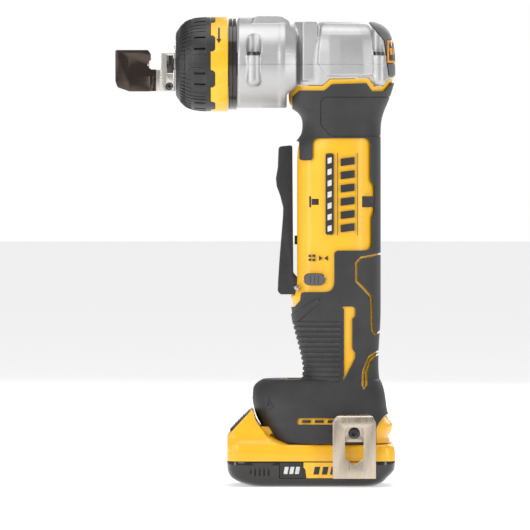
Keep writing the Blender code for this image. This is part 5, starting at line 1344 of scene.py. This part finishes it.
def latchLine(grow, deep=False):
    slope, into = Vector((1, 0, 1)).normalized(), Vector((1, 0, -1)).normalized()
    centre = Vector((-47.5, 0, 43.2))
    points = []
    for along, depth in ((-9.5 - grow, -6 if deep else -1.0), (9.5 + grow, -6 if deep else -1.0),
        (9.5 + grow, 9.0 if deep else 5.0),
                         (-9.5 - grow, 9.0 if deep else 5.0)):
        at = centre + slope * along + into * depth
        points.append((at.x, at.z, 0 if deep else 0.6))
    return points


def makeLatch():
    made = plate("latchButton", latchLine(0), "Y", -17, 17)
    roundOff(made, 0.9, 3, 40)
    lines = []
    slope, into = Vector((1, 0, 1)).normalized(), Vector((1, 0, -1)).normalized()
    for i in range(4):
        at = Vector((-47.5, 0, 43.2)) + slope * (-3.4 + 2.4 * i) + into * -0.9
        bar = rod("gripLine", (at.x, -12.5, at.z), (at.x, 12.5, at.z), 0.55, 16)
        lines.append(bar)
    carve(made, lines, "UNION")
    cleanUp(made)
    place(made, "latchButton", "battery_latch", glossBlack, 35)
    print("latch made")


makeLowerCase()
makeUpperCase()
makeLatch()


# foot details: vent slots, triangle marks, hook

def makeFootDetails():
    # the foot's vent slots are black plates laid on the yellow strip, not openings: painted shade standing
    # for the dark inside the vents
    ventShadePlates = []
    for i in range(4):
        x = -3.2 + 8.6 * i
        for side in (-1, 1):
            ventShadePlates.append(plate("ventSlot", [(x - 3.2, 42.9, 0.2), (x + 2.7, 42.9, 0.2),
                (x + 3.2, 44.6, 0.2), (x - 2.7, 44.6, 0.2)], "Y",
                                *sorted((side * 33.0, side * 34.86))))
    joinUp(ventShadePlates[0], ventShadePlates[1:])
    place(ventShadePlates[0], "footVentShade", "left_overmold", labelBlack, 30, replaces=False)
    marks = []
    for side in (-1, 1):
        outer = plate("mark", [(-30.6, 52.0), (-25.6, 53.0), (-29.2, 60.2)], "Y",
            *sorted((side * 25, side * 36)))
        inner = plate("markIn", [(-29.5, 53.6), (-27.2, 54.0), (-28.9, 57.6)], "Y",
            *sorted((side * 20, side * 40)))
        carve(outer, inner)
        marks.append(outer)
    joinUp(marks[0], marks[1:])
    skin = bodyForm("markSkin", footRings, handle["footSquareness"], -0.45, 2)
    carve(marks[0], skin, "INTERSECT")
    place(marks[0], "footMarks", "left_overmold", gripRubber, 30, replaces=False)
    # flat black sheets just inside the handle's vent slots: painted shade filling the openings
    shadeSheets = []
    for side in (-1, 1):
        for x in (2.7, 38.2):
            shadeSheets.append(block("ventShadeSheet", (x - 4, *sorted((side * 21.8, side * 22.4))[:1], 187.4),
                (x + 4, sorted((side * 21.8, side * 22.4))[1], 194.8)))
    joinUp(shadeSheets[0], shadeSheets[1:])
    roundOff(shadeSheets[0], 0.1, 1)
    place(shadeSheets[0], "ventShadeSheets", "left_shell", labelBlack, 30, replaces=False)
    fineCopySlot("belt_hook", "beltHook", brushedHook, 0.3, 3, 35)
    fineCopySlot("belt_hook_screw", "beltHookScrew", blackedSteel, 0.25)
    for i in range(1, 5):
        fineCopySlot(f"shell_screw_{i}", f"shellScrew{i}", blackedSteel, 0.2)
        fineCopySlot(f"gear_case_screw_{i}", f"gearCaseScrew{i}", blackedSteel, 0.3)
    print("foot details and fasteners made")


makeFootDetails()


# printed marks on the body: plain slanted bars and thin rules

def inlay(name, outlines, finish, node, proud=0.05, low=150, high=240):
    # flat outlines laid on the body's bare panel, both sides
    parts = []
    for corners in outlines:
        parts.append(plate(name, corners, "Y", -60, 60))
    carve(parts[0], parts[1:], "UNION") if len(parts) > 1 else None
    rings = [r for r in handleRings if 118 < r[0] < 249]
    outer = bodyForm(name + "Skin", rings, handle["squareness"], handle["panelSink"] - proud, 2)
    carve(parts[0], outer, "INTERSECT")
    inner = bodyForm(name + "Core", [(z + (5 if i == len(rings) - 1 else -5 if i == 0 else 0), f, r,
        h) for i, (z, f, r, h) in enumerate(rings)],
                     handle["squareness"], handle["panelSink"] + 0.25, 2)
    carve(parts[0], inner)
    return place(parts[0], name, node, finish, 35, replaces=False)


def makeBodyPrint():
    bars = []
    for i in range(6):
        z = 170.6 + 8.9 * i
        bars.append([(19.8, z), (29.2, z + 1.2), (29.2, z + 6.2), (19.8, z + 5.0)])
    small = []
    for i in range(7):
        z = 171.0 + 7.6 * i
        small.append([(11.0, z), (13.7, z + 0.8), (13.7, z + 4.6), (11.0, z + 3.8)])
    stripe = [[(9.6, 169, 1.6), (15.1, 169, 1.6), (15.1, 223.7, 1.6), (9.6, 223.7, 1.6)]]
    rules = [[(17.4, 168.5), (17.8, 168.5), (17.8, 224), (17.4, 224)], [(31.0, 168.5), (31.4, 168.5),
        (31.4, 224), (31.0, 224)]]
    inlay("bodyBars", bars + rules, labelBlack, "left_shell")
    inlay("bodyStripe", stripe, labelBlack, "left_shell", 0.03)
    inlay("stripeMarks", small, labelWhite, "left_shell", 0.06)
    # four small squares and two arrows above the button
    marks = [[(x, z), (x + 1.7, z), (x + 1.7, z + 1.7), (x, z + 1.7)] for x, z in ((-1.8, 151.2),
        (0.9, 151.2), (-1.8, 153.9), (0.9, 153.9))]
    marks += [[(5.2, 151.4), (7.6, 153.2), (5.2, 155.0)], [(11.2, 151.4), (8.8, 153.2), (11.2, 155.0)]]
    inlay("buttonMarks", marks, labelBlack, "left_shell")
    print("printed marks made")


makeBodyPrint()


# what stays inside keeps its own shape and gets its own finish

insideFinishes = {
    "head_spigot": groundSteel, "collar_spring": groundSteel, "ram": groundSteel,
    "ram_bush_front": bearingBronze, "ram_bush_rear": bearingBronze,
    "crank": groundSteel, "crank_bearing": plainNickel, "ring_gear": groundSteel,
    "planet_gear_1": groundSteel, "planet_gear_2": groundSteel,
    "planet_gear_3": groundSteel, "rotor_shaft": groundSteel, "motor_rotor": coreSteel,
    "motor_stator": coreSteel, "cooling_fan": satinBlack,
    "motor_bearing_front": plainNickel, "motor_bearing_rear": plainNickel, "trigger_switch": satinBlack,
    "switch_plunger": buttonGrey,
    "control_module": satinBlack, "terminal_block": satinBlack,
    **{f"battery_cell_{i}": cellWrap for i in range(1, 6)},
}
for node, finish in insideFinishes.items():
    cad[node].data.materials.clear()
    cad[node].data.materials.append(finish)
left = [n for n, o in cad.items() if not o.hide_render and n not in insideFinishes]
print("nodes still plain:", left)
